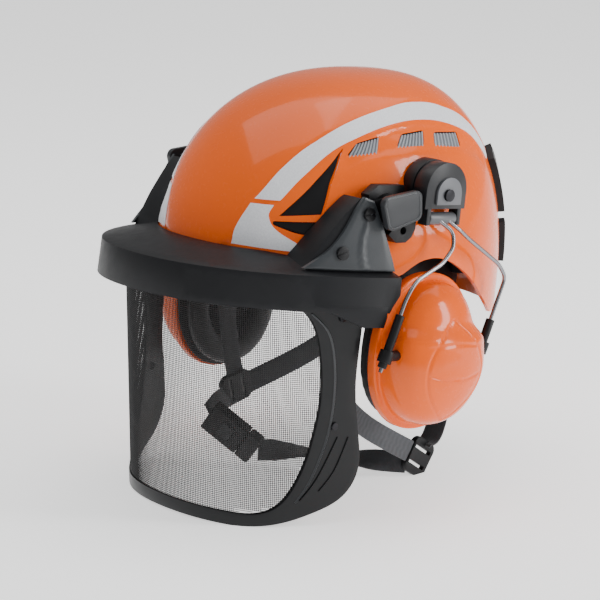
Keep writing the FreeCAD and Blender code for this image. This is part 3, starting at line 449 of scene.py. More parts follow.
def ease(value, low, high):
    """A soft step from 0 at low to 1 at high."""
    share = min(1.0, max(0.0, (value - low) / (high - low)))
    return share * share * (3 - 2 * share)


def relief(x, y, z):
    """Height of the shell's moulded relief above its plain form, in millimetres."""
    plain_rim = 8
    crown_step = 0.9
    belt_depth = 1.1
    if z < plain_rim:
        return 0.0
    crown = ease(distance_to(CROWN_CREASE, y, z), -1.2, 1.8) * crown_step
    belt = 0.0
    if abs(x) > 20:
        above_belt = ease(distance_to(BELT_LOWER, y, z), -1.5, 1.5)
        below_stripe = 1.0 - ease(distance_to(BELT_UPPER, y, z), -1.5, 1.5)
        ends = ease(y, -66, -58) * (1.0 - ease(y, 56, 66))
        belt = -belt_depth * above_belt * below_stripe * ends
    return crown + belt


def boolean_cut(obj, outlines, x_low=15.0, x_high=140.0):
    """Cut side-view windows through a piece: on both sides, or once where x_low is below 0."""
    vertices = []
    faces = []
    for side in (-1, 1) if x_low > 0 else (1,):
        for outline in outlines:
            first = len(vertices)
            count = len(outline)
            for x in (x_low, x_high):
                vertices += [(side * x * MM, y * MM, z * MM) for y, z in outline]
            faces.append(tuple(range(first, first + count)))
            faces.append(tuple(range(first + count, first + 2 * count)))
            for index in range(count):
                after = (index + 1) % count
                faces.append((first + index, first + after,
                              first + count + after, first + count + index))
    cutter = new_object("cutter", vertices, faces, "black", None, False)
    modify(obj, "BOOLEAN", operation="DIFFERENCE", object=cutter, solver="EXACT")
    apply_all(obj)
    bpy.data.objects.remove(cutter)


def rounded_outline(points, radius=2.5, steps=4):
    """A polygon with its corners rounded, in the side view."""
    corners = [Vector(point) for point in points]
    result = []
    for index, corner in enumerate(corners):
        after = corners[(index + 1) % len(corners)]
        result += bend(corners[index - 1], corner, after, radius, 1 / 2.2, steps)
    return [tuple(point) for point in result]


def build_shell():
    """The shell with its moulded relief and clean windows."""
    wall = 3.0
    columns = 300
    lowest = -12.0
    pitch = 2.2
    shoulder = 110.0
    top = HEIGHT * 0.9997
    count_up = 34
    heights = [lowest + pitch * k for k in range(56) if lowest + pitch * k < shoulder]
    for step in range(count_up + 1):
        heights.append(shoulder + (top - shoulder) * math.sin(math.pi / 2 * step / count_up))
    vertices = []
    for outer in (True, False):
        for z in heights:
            for column in range(columns):
                point = dome_point(2 * math.pi * column / columns, z)
                grow = relief(point.x, point.y, z) if outer else -wall
                vertices.append(pushed_out(point, z, grow))
    rows = len(heights)
    faces = dome_faces(rows, columns)
    for start, rise in ((0, 1.0), (rows * columns, -wall)):
        ring = start + (rows - 1) * columns
        apex = len(vertices)
        vertices.append(Vector((0, WIDEST_Y * MM, (HEIGHT + rise) * MM)))
        for column in range(columns):
            faces.append((ring + column, ring + (column + 1) % columns, apex))
    shell = new_object("shell_visual", vertices, faces, "orange", None)

    below = [(p.x, p.y) for p in side_curve(EAR_ARCH, 5)] + BELOW_RIM
    boolean_cut(shell, [below], -160.0, 160.0)
    boolean_cut(shell, [rounded_outline(FRONT_OPENING, 3.0)]
                + [rounded_outline(window) for window in SIDE_WINDOWS])
    smooth_by_angle(shell, 40.0)
    modify(shell, "WEIGHTED_NORMAL", keep_sharp=True)
    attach(shell, "helmet")
    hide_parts("outer_shell")


def skin_between(name, outer, inner, low, high, key, replaces=()):
    """A strip that follows the shell between two side-view paths, on both sides."""
    across = 5
    rolled_edge = 0.35
    upper = side_curve(outer)
    lower = side_curve(inner)
    for side, suffix in SIDES:
        vertices = []
        for lift in (high, low):
            for top_point, bottom_point in zip(upper, lower):
                for step in range(across):
                    at = top_point.lerp(bottom_point, step / (across - 1))
                    edge = rolled_edge if lift == high and step in (0, across - 1) else 0.0
                    point = on_shell(at.x, at.y, lift + relief(HALF_WIDTH, at.x, at.y) - edge)
                    vertices.append(on_side(side, point))
        rows = len(upper)
        faces = grid_faces(rows, across)
        offset = rows * across
        faces += [tuple(offset + i for i in reversed(face)) for face in grid_faces(rows, across)]
        faces += border_faces(rows, across)
        strip = new_object(name + suffix, vertices, faces, key, "helmet")
        smooth_by_angle(strip, 50.0)
        if side == 1 and replaces:
            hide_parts(*replaces)


def build_stripes():
    skin_between("stripe_long", STRIPE_OUTER, STRIPE_INNER, -0.4, 0.75, "tape", ["upper_stripes"])
    skin_between("stripe_short", CHIP_OUTER, CHIP_INNER, -0.4, 0.75, "tape", ["front_stripes"])


OPENING_FRONT = FRONT_OPENING[:5]
OPENING_REAR = [(-60, 99), (-71, 78), (-79, 56), (-83, 49), (-84, 43.5)]
BRIDGE_UPPER = [(-100.5, 54.6), (-90, 56.4), (-78.5, 58.2)]
BRIDGE_LOWER = [(-103, 51.2), (-92, 52.2), (-80, 53.4)]
SLIVER_FRONT = [(-60.5, 97), (-66, 87), (-72, 76)]
SLIVER_REAR = [(-57.8, 98.6), (-63.5, 89), (-70.6, 78)]

# The rear and front edge of each lamp clip, upper clip first.
CLIPS = [
    ([(84, 101), (90, 95), (96, 86), (100, 73), (101, 60)],
     [(77, 93), (80, 86), (84, 77), (88, 67), (92, 57)]),
    ([(97, 52), (101, 43), (104, 34), (106, 26)],
     [(93, 50), (96, 40), (98, 31), (100, 22)]),
]


def build_rear_clips():
    """Hooked lamp clips on the shell's rear: a thick tongue that stands clear of the surface."""
    for number, (outer, inner) in enumerate(CLIPS):
        stands_for = ["rear_lamp_clips"] if number == 0 else []
        skin_between("rear_clip_%d" % number, outer, inner, 4.6, 0.1, "black", stands_for)


def build_front_openings():
    """A black recess behind each front opening, an orange bridge and a silver edge."""
    skin_between("recess", OPENING_FRONT, OPENING_REAR, -1.5, -2.8, "black",
                 ["front_vent_inserts"])
    skin_between("opening_bridge", BRIDGE_UPPER, BRIDGE_LOWER, 0.0, -1.4, "orange")
    skin_between("opening_edge", SLIVER_REAR, SLIVER_FRONT, -0.1, -1.4, "silver")


def build_grilles():
    """Silver grilles in the side windows: a sunk plate with raised slats."""
    steps_per_slat = 4
    steps = 8 * steps_per_slat
    across = 6
    slat_lift = -1.3
    plate_lift = -2.4
    for number, window in enumerate(SIDE_WINDOWS):
        (y0, z0), (y1, z1), (y2, z2), (y3, z3) = window
        for side, suffix in SIDES:
            vertices = []
            for row in range(steps + 1):
                share = row / steps
                lift = slat_lift if row % steps_per_slat in (1, 2) else plate_lift
                for column in range(across):
                    rise = column / (across - 1)
                    y = ((y0 + (y3 - y0) * share) * (1 - rise)
                         + (y1 + (y2 - y1) * share) * rise)
                    z = ((z0 + (z3 - z0) * share) * (1 - rise)
                         + (z1 + (z2 - z1) * share) * rise)
                    vertices.append(on_side(side, on_shell(y, z, lift)))
            faces = grid_faces(steps + 1, across)
            grille = new_object("grille_%d%s" % (number, suffix), vertices, faces, "grille",
                                "helmet", False)
            modify(grille, "SOLIDIFY", thickness=0.0006, offset=0.0)
            apply_all(grille)
            if side == 1 and number == 0:
                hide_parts("side_vent_grilles")


# ---------------------------------------------------------------- visor
GUARD_POWER = 2.235
GUARD_CENTRE_Y = 15.4
VISOR_TOP_Z = 20.0
VISOR_BOTTOM_Z = -150.0
# The visor wall's half-width and reach at its lower edge, and how much they grow to its top.
VISOR_HALF_WIDTH = 110.0
VISOR_REACH = 141.0
VISOR_FLARE = 2.0
VISOR_LEAN = 26.0
MESH_TOP_Z = 2
MESH_BOTTOM_Z = -141
MESH_EDGE = [(-175, MESH_TOP_Z), (-104, 2), (-92, -8), (-84, -29), (-80, -55), (-81, -84),
             (-88, -120), (-96, -135), (-112, -141), (-175, MESH_BOTTOM_Z)]


def visor_size(z, lift):
    """Half-width and front reach of the visor's wall at a height, in millimetres."""
    share = (z - VISOR_BOTTOM_Z) / (VISOR_TOP_Z - VISOR_BOTTOM_Z)
    return (VISOR_HALF_WIDTH + VISOR_FLARE * share + lift,
            VISOR_REACH + VISOR_LEAN * share + lift)


def visor_point(angle, z, inset):
    """A point of the visor's wall, in metres."""
    half, reach = visor_size(z, -inset)
    x = half * signed_power(math.cos(angle), 2 / GUARD_POWER)
    y = GUARD_CENTRE_Y + reach * signed_power(math.sin(angle), 2 / GUARD_POWER)
    return Vector((x, y, z)) * MM


def oval_wall(y, z, half, reach):
    """The left point at (y, z) of an upright oval wall around the face, in metres."""
    along = min(1.0, abs(y - GUARD_CENTRE_Y) / reach)
    return Vector((half * (1.0 - along ** GUARD_POWER) ** (1 / GUARD_POWER), y, z)) * MM


def inside(outline, y, z):
    """Whether (y, z) lies inside a side-view outline."""
    odd = False
    for (y0, z0), (y1, z1) in zip(outline, outline[1:] + outline[:1]):
        if (z0 > z) != (z1 > z) and y < (y1 - y0) * (z - z0) / (z1 - z0) + y0:
            odd = not odd
    return odd


def add_wire(vertices, faces, points, normals, radius):
    """A three-sided wire along points."""
    first = len(vertices)
    for index, point in enumerate(points):
        ahead = points[min(index + 1, len(points) - 1)] - points[max(index - 1, 0)]
        ahead.normalize()
        out = normals[index]
        side = ahead.cross(out).normalized()
        vertices.append(point + out * radius)
        vertices.append(point - out * radius * 0.5 + side * radius * 0.87)
        vertices.append(point - out * radius * 0.5 - side * radius * 0.87)
    for index in range(len(points) - 1):
        base = first + index * 3
        for corner in range(3):
            after = (corner + 1) % 3
            faces.append((base + corner, base + after, base + 3 + after, base + 3 + corner))


def wire_piece(name, points, normal, radius, key, body):
    """A moulded rib or rim as one wire along points."""
    vertices = []
    faces = []
    add_wire(vertices, faces, points, [normal] * len(points), radius)
    smooth_by_angle(new_object(name, vertices, faces, key, body), 70.0)


def build_mesh():
    """Woven visor wire: level wires and upright ones on the visor's curved wall."""
    inset = 1.2
    pitch = 1.3
    radius = 0.00026
    edge_gap = 0.6
    columns = 160
    top = MESH_TOP_Z + 0.8
    smooth = side_curve(MESH_EDGE[1:-1], 6)
    edge = [MESH_EDGE[0]] + [(p.x, p.y) for p in smooth] + [MESH_EDGE[-1]]
    vertices = []
    faces = []
    for level in range(int((MESH_TOP_Z - MESH_BOTTOM_Z) / pitch) + 2):
        z = top - level * pitch
        run = []
        normals = []
        for column in range(columns + 1):
            angle = math.pi + math.pi * column / columns
            point = visor_point(angle, z, inset)
            if inside(edge, point.y / MM - edge_gap, z):
                run.append(point)
                normals.append(Vector((math.cos(angle), math.sin(angle), 0)))
        if len(run) > 2:
            add_wire(vertices, faces, run, normals, radius)

    # The uprights stand a pitch apart along the wall, measured at one level.
    measured_z = -60.0
    steps = 4000
    rise = 3.0
    previous = visor_point(math.pi, measured_z, inset)
    length = 0.0
    due = 0.0
    for step in range(steps + 1):
        angle = math.pi + math.pi * step / steps
        point = visor_point(angle, measured_z, inset)
        length += (point - previous).length / MM
        previous = point
        if length < due:
            continue
        due = length + pitch
        run = []
        for level in range(49):
            z = rise - level * rise
            at = visor_point(angle, z, inset)
            if inside(edge, at.y / MM - edge_gap, z):
                run.append(at)
        if len(run) > 1:
            out = Vector((math.cos(angle), math.sin(angle), 0))
            add_wire(vertices, faces, run, [out] * len(run), radius)
    mesh = new_object("visor_wire", vertices, faces, "mesh", "visor")
    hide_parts("visor_mesh")


RIB_PATHS = [
    [(-93, -3), (-82, -14), (-76, -30), (-72.5, -55), (-73, -82), (-79, -112), (-86, -130)],
    [(-67, -84), (-76, -112), (-84, -128)],
    [(-60, -84), (-66, -106), (-74, -121)],
]


def build_visor_ribs():
    """Raised ribs moulded on the visor frame's side wings, the first one thicker and painted
    lighter as a highlight along its ridge.
    """
    for number, path in enumerate(RIB_PATHS):
        # The first rib takes the lighter rib material: a painted highlight along its ridge.
        radius, key = (0.0011, "rib") if number == 0 else (0.0008, "frame")
        for side, suffix in SIDES:
            points = []
            for at in side_curve(path):
                wall = oval_wall(at.x, at.y, *visor_size(at.y, 0.1))
                points.append(on_side(side, wall))
            normal = Vector((side * 1.0, -0.35, 0)).normalized()
            wire_piece("visor_rib_%d%s" % (number, suffix), points, normal, radius, key, "visor")


# ---------------------------------------------------------------- side plates and pivot caps
PLATE_FRONT = [(-65, 73), (-70, 66), (-75, 57), (-80.5, 48), (-87.5, 39.5), (-96, 32.5),
               (-104, 26.5)]
PLATE_REAR = [(-58, 70.5), (-54.5, 62.5), (-51, 54), (-48, 46), (-45.5, 39), (-43, 32),
              (-41.3, 26)]
PLATE_RIB = [(-59.5, 66), (-63.5, 57), (-66.5, 47), (-67, 37), (-65.5, 28)]
CAP_OUTLINE = [(-61.5, 74), (-27, 79.5), (-24.5, 60.5), (-53, 52)]


def carrier_point(y, z, lift):
    """A point on the outside of the carrier's left arm, in metres."""
    inset = 6.0 + 7.0 * (z - 18.0) / 60.0 - lift
    return oval_wall(y, z, 119.0 - inset, 186.4 - inset)


def build_side_plates():
    """Lighter plates over the carrier's arms, with flowing edges and a moulded rib."""
    across = 24
    inner_lift = -2.4
    front = side_curve(PLATE_FRONT)
    rear = side_curve(PLATE_REAR)
    rows = len(front)
    offset = rows * across
    for side, suffix in SIDES:
        vertices = []
        for outer in (True, False):
            for row, (before, after) in enumerate(zip(front, rear)):
                for column in range(across):
                    at = before.lerp(after, column / (across - 1))
                    edge = min(column, across - 1 - column, row, rows - 1 - row)
                    rib = 1.0 - ease(abs(distance_to(PLATE_RIB, at.x, at.y)), 0.4, 2.0)
                    lift = 0.1 - 0.5 * (1.0 - ease(edge, 0, 2)) + 0.8 * rib * ease(edge, 0, 3)
                    point = carrier_point(at.x, at.y, lift if outer else inner_lift)
                    vertices.append(on_side(side, point))
        faces = grid_faces(rows, across)
        faces += [tuple(offset + index for index in face) for face in faces]
        faces += border_faces(rows, across)
        plate = new_object("carrier_plate" + suffix, vertices, faces, "side_plate", "visor")
        smooth_by_angle(plate, 45.0)
        if side == 1:
            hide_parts("brow_side_plates")


def build_cap_rims():
    """The raised, brighter rim around each pivot cap's face."""
    rim_inset = 1.7
    caps = nodes["pivot_caps"]
    face_x = max((caps.matrix_world @ vertex.co).x for vertex in caps.data.vertices)
    outline = [Vector((y, z, 0)) for y, z in rounded_outline(CAP_OUTLINE, 6.0, 8)]
    centre = sum(outline, Vector()) / len(outline)
    for side, suffix in SIDES:
        points = []
        for at in outline + outline[:2]:
            inner = at + (centre - at).normalized() * rim_inset
            points.append(Vector((side * face_x, inner.x * MM, inner.y * MM)))
        wire_piece("cap_rim" + suffix, points, Vector((side, 0, 0)), 0.0006, "cap_rim", "helmet")


# ---------------------------------------------------------------- ear cups
CUP_Y = -4.5
CUP_Z = -29.0
CUP_HALF_WIDTH = 44.0
CUP_HALF_HEIGHT = 52.5
CUP_BASE_X = 98.0
CUP_POWER = 2.15


def oval(angle, half_y, half_z, power=CUP_POWER):
    """A point of a superellipse, as offsets in y and z."""
    return (half_y * signed_power(math.cos(angle), 2 / power),
            half_z * signed_power(math.sin(angle), 2 / power))


# Depth from the base plane and inset from the flange's edge, in millimetres.
CUP_PROFILE = [(0.2, 3.0), (0.2, 0.6), (0.8, 0.1), (1.8, 0.0), (5.6, 0.0), (6.6, 0.3), (7.1, 1.0),
               (7.3, 2.4), (7.6, 3.3), (8.6, 3.8), (12, 4.1), (17, 4.6), (21, 5.4), (25, 7.0),
               (28.5, 9.2), (31.5, 12.2), (34, 16.0), (36, 20.2), (37.6, 25.5), (38.8, 31.0),
               (39.5, 36.5), (39.8, 41.0), (39.9, 43.4)]


def cup_point(side, x, dy, dz):
    """A point of an ear cup from its offsets, in metres."""
    return (x * side * MM, (CUP_Y + dy) * MM, (CUP_Z + dz) * MM)


def build_cup(side, suffix):
    """The cup's glossy shell: flange, shoulder and face with its panel lines."""
    columns = 240
    vertices = []
    profile = side_curve(CUP_PROFILE, 6)
    for at in profile:
        half_y = max(0.3, CUP_HALF_WIDTH - at.y)
        half_z = max(0.4, CUP_HALF_HEIGHT - at.y * 1.18)
        for column in range(columns):
            dy, dz = oval(2 * math.pi * column / columns, half_y, half_z)
            depth = at.x + panel_relief(dy, dz, at.x) - shoulder_drop(dz, at.x)
            dy *= 1.0 - 0.1 * ease(dz, 12.0, 22.0) * ease(at.x, 7.0, 9.0)
            vertices.append(cup_point(side, CUP_BASE_X + depth, dy, dz))
    faces = grid_faces(len(profile), columns, True)
    last_ring = (len(profile) - 1) * columns
    faces.append(tuple(last_ring + column for column in range(columns)))
    cup = new_object("ear_cup" + suffix, vertices, faces, "cup_orange", "cup" + suffix)
    modify(cup, "SOLIDIFY", thickness=0.002, offset=-1.0)
    apply_all(cup)
    smooth_by_angle(cup, 50.0)
    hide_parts("cup_shell" + suffix)


def build_cup_foam(side, suffix):
    """Dimpled foam sheet that lines the inside of the cup."""
    rings = 22
    columns = 96
    vertices = []
    for ring in range(rings + 1):
        share = ring / rings
        for column in range(columns):
            angle = 2 * math.pi * column / columns
            dy, dz = oval(angle, 34.0 * share + 0.05, 42.0 * share + 0.05, 2.0)
            dimple = math.sin(dy * 0.55) * math.sin(dz * 0.55)
            depth = 4.6 + 1.1 * dimple * (1 - share ** 4) + 2.2 * share ** 6
            vertices.append(cup_point(side, CUP_BASE_X + depth, dy, dz))
    faces = grid_faces(rings + 1, columns, True)
    faces.append(tuple(range(columns)))
    foam = new_object("cup_foam_sheet" + suffix, vertices, faces, "foam", None)
    modify(foam, "SOLIDIFY", thickness=0.006, offset=-1.0)
    apply_all(foam)
    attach(foam, "cup" + suffix)
    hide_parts("cup_foam" + suffix)


def shoulder_drop(dz, depth):
    """The cup's upper part lies lower than its face, behind a soft step."""
    upper = 5.5 * ease(dz, 10.0, 24.0)
    waist = 1.5 * ease(dz, -34.0, -10.0) * ease(-dz, -10.0, 8.0)
    return ease(depth, 12.0, 30.0) * (upper - waist)


def panel_relief(dy, dz, depth):
    """Fine lens-shaped panel lines on the cup's face, as shallow grooves."""
    face_depth = 20
    groove_depth = 0.7
    lens_half_height = 34.0
    lens_half_width = 25.0
    below_centre = dz + 8.0
    if depth < face_depth or abs(below_centre) >= lens_half_height:
        return 0.0
    share = abs(below_centre) / lens_half_height
    side_line = abs(lens_half_width * (1 - share * share) - abs(dy - 1.0))
    middle = abs(below_centre + 4.5 * (1 - (dy / 26.0) ** 2))
    top = abs(dz - 11.0 + 3.0 * (dy / 26.0) ** 2)
    groove = max(1.0 - ease(side_line, 0.3, 1.4),
                 (1.0 - ease(middle, 0.3, 1.3)) * (1.0 - ease(abs(dy), 20.0, 25.0)),
                 (1.0 - ease(top, 0.3, 1.6)) * (1.0 - ease(abs(dy), 16.0, 26.0)))
    return -groove_depth * groove


def build_cushion(side, suffix):
    """Oval ring cushion: an inflated tube with a pinched seam on its inner edge."""
    columns = 96
    around = 24
    centre_x = CUP_BASE_X - 2.0 - 6.5
    vertices = []
    for column in range(columns):
        angle = 2 * math.pi * column / columns
        outer_y, outer_z = oval(angle, CUP_HALF_WIDTH - 3.5, CUP_HALF_HEIGHT - 3.5)
        inner_y, inner_z = oval(angle, 22.0, 30.0)
        mid = Vector((0, (outer_y + inner_y) / 2, (outer_z + inner_z) / 2))
        reach = Vector((0, (outer_y - inner_y) / 2, (outer_z - inner_z) / 2))
        wrinkle = 1.0 + 0.012 * math.sin(column * 5.0) + 0.01 * math.sin(column * 11.0 + 1.0)
        for step in range(around):
            turn = 2 * math.pi * step / around
            flat = signed_power(math.cos(turn), 0.8)
            deep = signed_power(math.sin(turn), 0.85)
            x = centre_x - 5.8 * deep * (wrinkle if deep > 0 else 1.0)
            point = Vector((x, CUP_Y, CUP_Z)) + mid + reach * (flat * 0.97)
            vertices.append((point.x * side * MM, point.y * MM, point.z * MM))
    faces = []
    for column in range(columns):
        after = (column + 1) % columns
        for step in range(around):
            up = (step + 1) % around
            faces.append((column * around + step, after * around + step,
                          after * around + up, column * around + up))
    ring = new_object("cushion" + suffix, vertices, faces, "leatherette", None)
    inflate(ring)
    outward(ring)
    ring.data.polygons.foreach_set("use_smooth", [True] * len(ring.data.polygons))
    paint(ring, "leatherette")
    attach(ring, "cup" + suffix)
    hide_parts("ear_cushion" + suffix)


def inflate(obj):
    """Blow a soft piece up slightly with cloth, capped, and keep the result."""
    limit = 0.0011
    frames = 12
    modify(obj, "REMESH", mode="VOXEL", voxel_size=0.0032)
    apply_all(obj)
    start = [v.co.copy() for v in obj.data.vertices]
    cloth = obj.modifiers.new("cloth", "CLOTH")
    cloth.settings.use_pressure = True
    cloth.settings.uniform_pressure_force = 4.0
    cloth.settings.effector_weights.gravity = 0.0
    scene = bpy.context.scene
    for number in range(1, frames + 1):
        scene.frame_set(number)
    apply_all(obj)
    scene.frame_set(1)
    for vertex, home in zip(obj.data.vertices, start):
        move = vertex.co - home
        if move.length > limit:
            vertex.co = home + move.normalized() * limit
    modify(obj, "SUBSURF", levels=1, render_levels=1)
    apply_all(obj)


# ---------------------------------------------------------------- inside the helmet
def build_foam_liner():
    """Moulded foam liner with channels on its inner face."""
    columns = 160
    outer_offset = -3.3
    inner_offset = -19.3
    rim_z = 38.0
    channel_depth = 4.0
    count_up = 14
    heights = [rim_z, rim_z + 0.6] + [rim_z + 1.5 + 2.0 * k for k in range(34)]
    shoulder = heights[-1]
    for step in range(1, count_up + 1):
        rise = math.sin(math.pi / 2 * step / count_up)
        heights.append(shoulder + (HEIGHT - 1.0 - shoulder) * rise)
    vertices = []
    for offset in (outer_offset, inner_offset):
        for z in heights:
            for column in range(columns):
                angle = 2 * math.pi * column / columns
                move = offset
                if offset == inner_offset:
                    channel = ease(math.cos(angle * 6.0), 0.72, 0.9) * ease(z, 44.0, 54.0)
                    move = offset + channel_depth * channel * (1.0 - ease(z, 110.0, 135.0))
                vertices.append(pushed_out(dome_point(angle, z), z, move))
    rows = len(heights)
    faces = dome_faces(rows, columns)
    for first in (0, rows * columns):
        ring = first + (rows - 1) * columns
        faces.append(tuple(ring + column for column in range(columns)))
    liner = new_object("liner_foam_moulded", vertices, faces, "foam", None)
    smooth_by_angle(liner, 50.0)
    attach(liner, "helmet")
    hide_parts("foam_liner")


BAND_HALF_WIDTH = 77.0
BAND_HALF_LENGTH = 97.0
BAND_CENTRE_Y = 5.0
BAND_LOW_Z = 8.0
BAND_HEIGHT = 22.0


def build_brow_pad():
    """Quilted brow pad in the front of the band."""
    along = 120
    around = 20
    limit = math.radians(62.0)
    vertices = []
    for row in range(along + 1):
        angle = -math.pi / 2 - limit + 2 * limit * row / along
        quilt = abs(math.sin(row * math.pi / 12.0)) ** 0.5
        taper = ease(row, 0, 4) * (1.0 - ease(row, along - 4, along))
        deep = (1.3 + 1.2 * quilt) * (0.35 + 0.65 * taper)
        tall = 7.4 * (0.6 + 0.4 * taper)
        for step in range(around):
            turn = 2 * math.pi * step / around
            inset = 4.4 - signed_power(math.cos(turn), 0.6) * deep
            x = (BAND_HALF_WIDTH - inset) * math.cos(angle)
            y = BAND_CENTRE_Y + (BAND_HALF_LENGTH - inset) * math.sin(angle)
            z = BAND_LOW_Z + 6.6 + signed_power(math.sin(turn), 0.7) * tall
            vertices.append((x * MM, y * MM, z * MM))
    faces = grid_faces(along + 1, around, True)
    faces.append(tuple(range(around)))
    faces.append(tuple(along * around + k for k in range(around)))
    pad = new_object("brow_pad_quilted", vertices, faces, "padding", "helmet")
    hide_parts("brow_pad")


def build_crown_straps():
    """Two webbing straps that arch over the head, across and along it."""
    steps = 12
    inset = 3.4
    foot_z = BAND_LOW_Z + BAND_HEIGHT - 6.0
    across_run = Vector((1, 0, 0))
    along_run = Vector((0, 1, 0))
    for name, half, lift, run, wide, node in (
            ("crown_strap_across", BAND_HALF_WIDTH - inset, 84.0, across_run, along_run,
             "cradle_straps"),
            ("crown_strap_along", BAND_HALF_LENGTH - inset, 86.0, along_run, across_run, None)):
        points = []
        for step in range(steps + 1):
            angle = math.pi * step / steps
            z = foot_z + lift * max(0.0, math.sin(angle)) ** 0.9
            points.append(run * (half * math.cos(angle)) + Vector((0, BAND_CENTRE_Y, z)))
        build_strap(name, points, [wide] * (steps + 1), 20.0, "webbing", node, 1.2)


# ---------------------------------------------------------------- wires and straps
WIRE_RUN = Vector((0, -14, -40))
FRONT_FOOT = Vector((119.5, -57, -37))
REAR_FOOT = Vector((112, 41, -34))
FRONT_TOP = [(107.5, -8, 60), (114, 2, 52.4), (117, 1, 42.4), (118, -8.6, 32.4), (119, -31.5, 22),
             (119.5, -37, 16)]
REAR_TOP = [(107.5, 0, 60), (113, 9.5, 53), (112, 18.6, 47.5), (112, 52, 29)]
WIRE_RADIUS = 0.00135
WIRE_BEND = 4.5


def build_wires(side, suffix):
    """Bright spring wires, bent with real radii."""
    for name, top, foot, lift in (("wire_front", FRONT_TOP, FRONT_FOOT, 1.15),
                                  ("wire_rear", REAR_TOP, REAR_FOOT, 1.35)):
        points = [Vector(p) for p in top] + [foot - WIRE_RUN * lift, foot]
        route = [points[0]]
        for before, corner, after in zip(points, points[1:], points[2:]):
            route += bend(before, corner, after, WIRE_BEND, 0.45, 6)
        route.append(points[-1])
        curve = bpy.data.curves.new(name + suffix, "CURVE")
        curve.dimensions = "3D"
        spline = curve.splines.new("POLY")
        spline.points.add(len(route) - 1)
        for target, point in zip(spline.points, route):
            target.co = (side * point.x * MM, point.y * MM, point.z * MM, 1.0)
        curve.bevel_depth = WIRE_RADIUS
        curve.bevel_resolution = 5
        curve.use_fill_caps = True
        curve.materials.append(MATERIALS["steel"])
        holder = bpy.data.objects.new(name + suffix, curve)
        bpy.context.scene.collection.objects.link(holder)
        baked = bpy.data.meshes.new_from_object(holder)
        bpy.data.objects.remove(holder)
        wire = bpy.data.objects.new(name + suffix, baked)
        bpy.context.scene.collection.objects.link(wire)
        smooth_by_angle(wire, 60.0)
        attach(wire, "muff_arm" + suffix)
        if name == "wire_front":
            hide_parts("muff_wires" + suffix)


# Half of the webbing's section, as shares of its width and thickness; the rest is its mirror.
STRAP_SECTION = [(-0.5, -0.3), (-0.46, -0.5), (-0.2, -0.42), (0.0, -0.5), (0.2, -0.42),
                 (0.46, -0.5), (0.5, -0.3)]


def build_strap(name, points, across, width, key, node, thickness=1.5):
    """Webbing along a smooth path, slightly crowned, with rolled edges."""
    path = bezier_points(points, 10)
    sides = bezier_points(across, 10)
    section = STRAP_SECTION + [(-u, -v) for u, v in STRAP_SECTION]
    vertices = []
    for index, point in enumerate(path):
        run = (path[min(index + 1, len(path) - 1)] - path[max(index - 1, 0)]).normalized()
        wide = sides[index] - run * sides[index].dot(run)
        wide.normalize()
        thin = run.cross(wide).normalized()
        for u, v in section:
            vertices.append((point + wide * u * width + thin * v * thickness) * MM)
    count = len(section)
    faces = grid_faces(len(path), count, True)
    faces.append(tuple(range(count)))
    faces.append(tuple((len(path) - 1) * count + k for k in range(count)))
    strap = new_object(name, vertices, faces, key, "helmet")
    smooth_by_angle(strap, 45.0)
    if node:
        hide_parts(node)


STRAP_WIDTH = 15.0
LEFT_ADJUSTER = Vector((60, 49, -116))
RIGHT_ADJUSTER = Vector((-62, -17, -89))
BUCKLE_TOP = Vector((-50, -50, -103))
BUCKLE_END = Vector((-22, -30, -124))
# Node, material, points of the middle line and the width's direction at each point.
STRAPS = [
    ("chin_strap_front_l", "webbing_blue",
     [(71.5, -34, 14), (75, -44, -30), (74, -46, -62), (68, -16, -86),
      LEFT_ADJUSTER + Vector((1, -10, 5))],
     [(0, 1, 0), (0, 1, 0), (0, 1, 0.3), (0, 0.55, 1), (0, 0.55, 1)]),
    ("chin_strap_front_r", "webbing",
     [(-71.5, -34, 14), (-70, -24, -40), (-66, -20, -66), RIGHT_ADJUSTER + Vector((-1, -1, 9))],
     [(0, 1, 0)] * 4),
    ("chin_strap_rear_l", "webbing",
     [(44, 90, -18), (58, 66, -94), LEFT_ADJUSTER + Vector((-1, 4, 8))],
     [(1, 0.4, 0.2), (1, 0.3, 0.1), (1, 0.3, 0.1)]),
    ("chin_strap_rear_r", "webbing",
     [(-44, 90, -18), (-45, 48, -56), RIGHT_ADJUSTER + Vector((0, 10, 2))],
     [(0, 0.3, 1)] * 3),
    ("chin_strap_lower_l", "webbing",
     [BUCKLE_END + Vector((2, 2, 0)), (0, -10, -122), (28, 4, -120),
      LEFT_ADJUSTER + Vector((-2, -9, -4))],
     [(0, 0.2, 1), (0, 1, 0.4), (0, 1, 0.1), (0.3, 0.3, 1)]),
    ("chin_strap_lower_r", "webbing",
     [RIGHT_ADJUSTER + Vector((1, -7, -6)), (-55, -38, -97), BUCKLE_TOP],
     [(0.2, 0.6, -1), (0.2, 0.6, -1), (0.4, -0.3, -1)]),
]


def build_straps():
    """The six chin straps."""
    for node, key, points, across in STRAPS:
        build_strap(node + "_web", points, across, STRAP_WIDTH, key, node)


# ---------------------------------------------------------------- carried-over CAD nodes
NODE_MATERIALS = {
    "headband": "black", "nape_cradle": "black", "cradle_anchors": "black",
    "adjuster_wheel": "black", "strap_adjuster_l": "black", "strap_adjuster_r": "black",
    "buckle_socket": "black", "buckle_plug": "black", "buckle_button": "cap",
    "brow_guard": "charcoal",
    "brow_screws": "black", "pivot_arms": "black", "visor_frame": "frame",
    "visor_rivets": "dark_steel", "pivot_caps": "cap",
}
SIDE_MATERIALS = {
    "pivot_bracket": "black", "muff_base": "black", "swivel_housing": "housing",
    "swivel_cover": "cover",
    "swivel_screw": "dark_steel", "arm_block": "drum", "wire_sleeves": "black", "cup_pins": "black",
    "cup_plate": "black",
}
BEVELS = {"brow_guard": 0.0012, "pivot_caps": 0.0009, "swivel_housing": 0.0012,
          "headband": 0.0004}
PLAIN_BEVEL = 0.0005
EDGE_ANGLE = 38.0


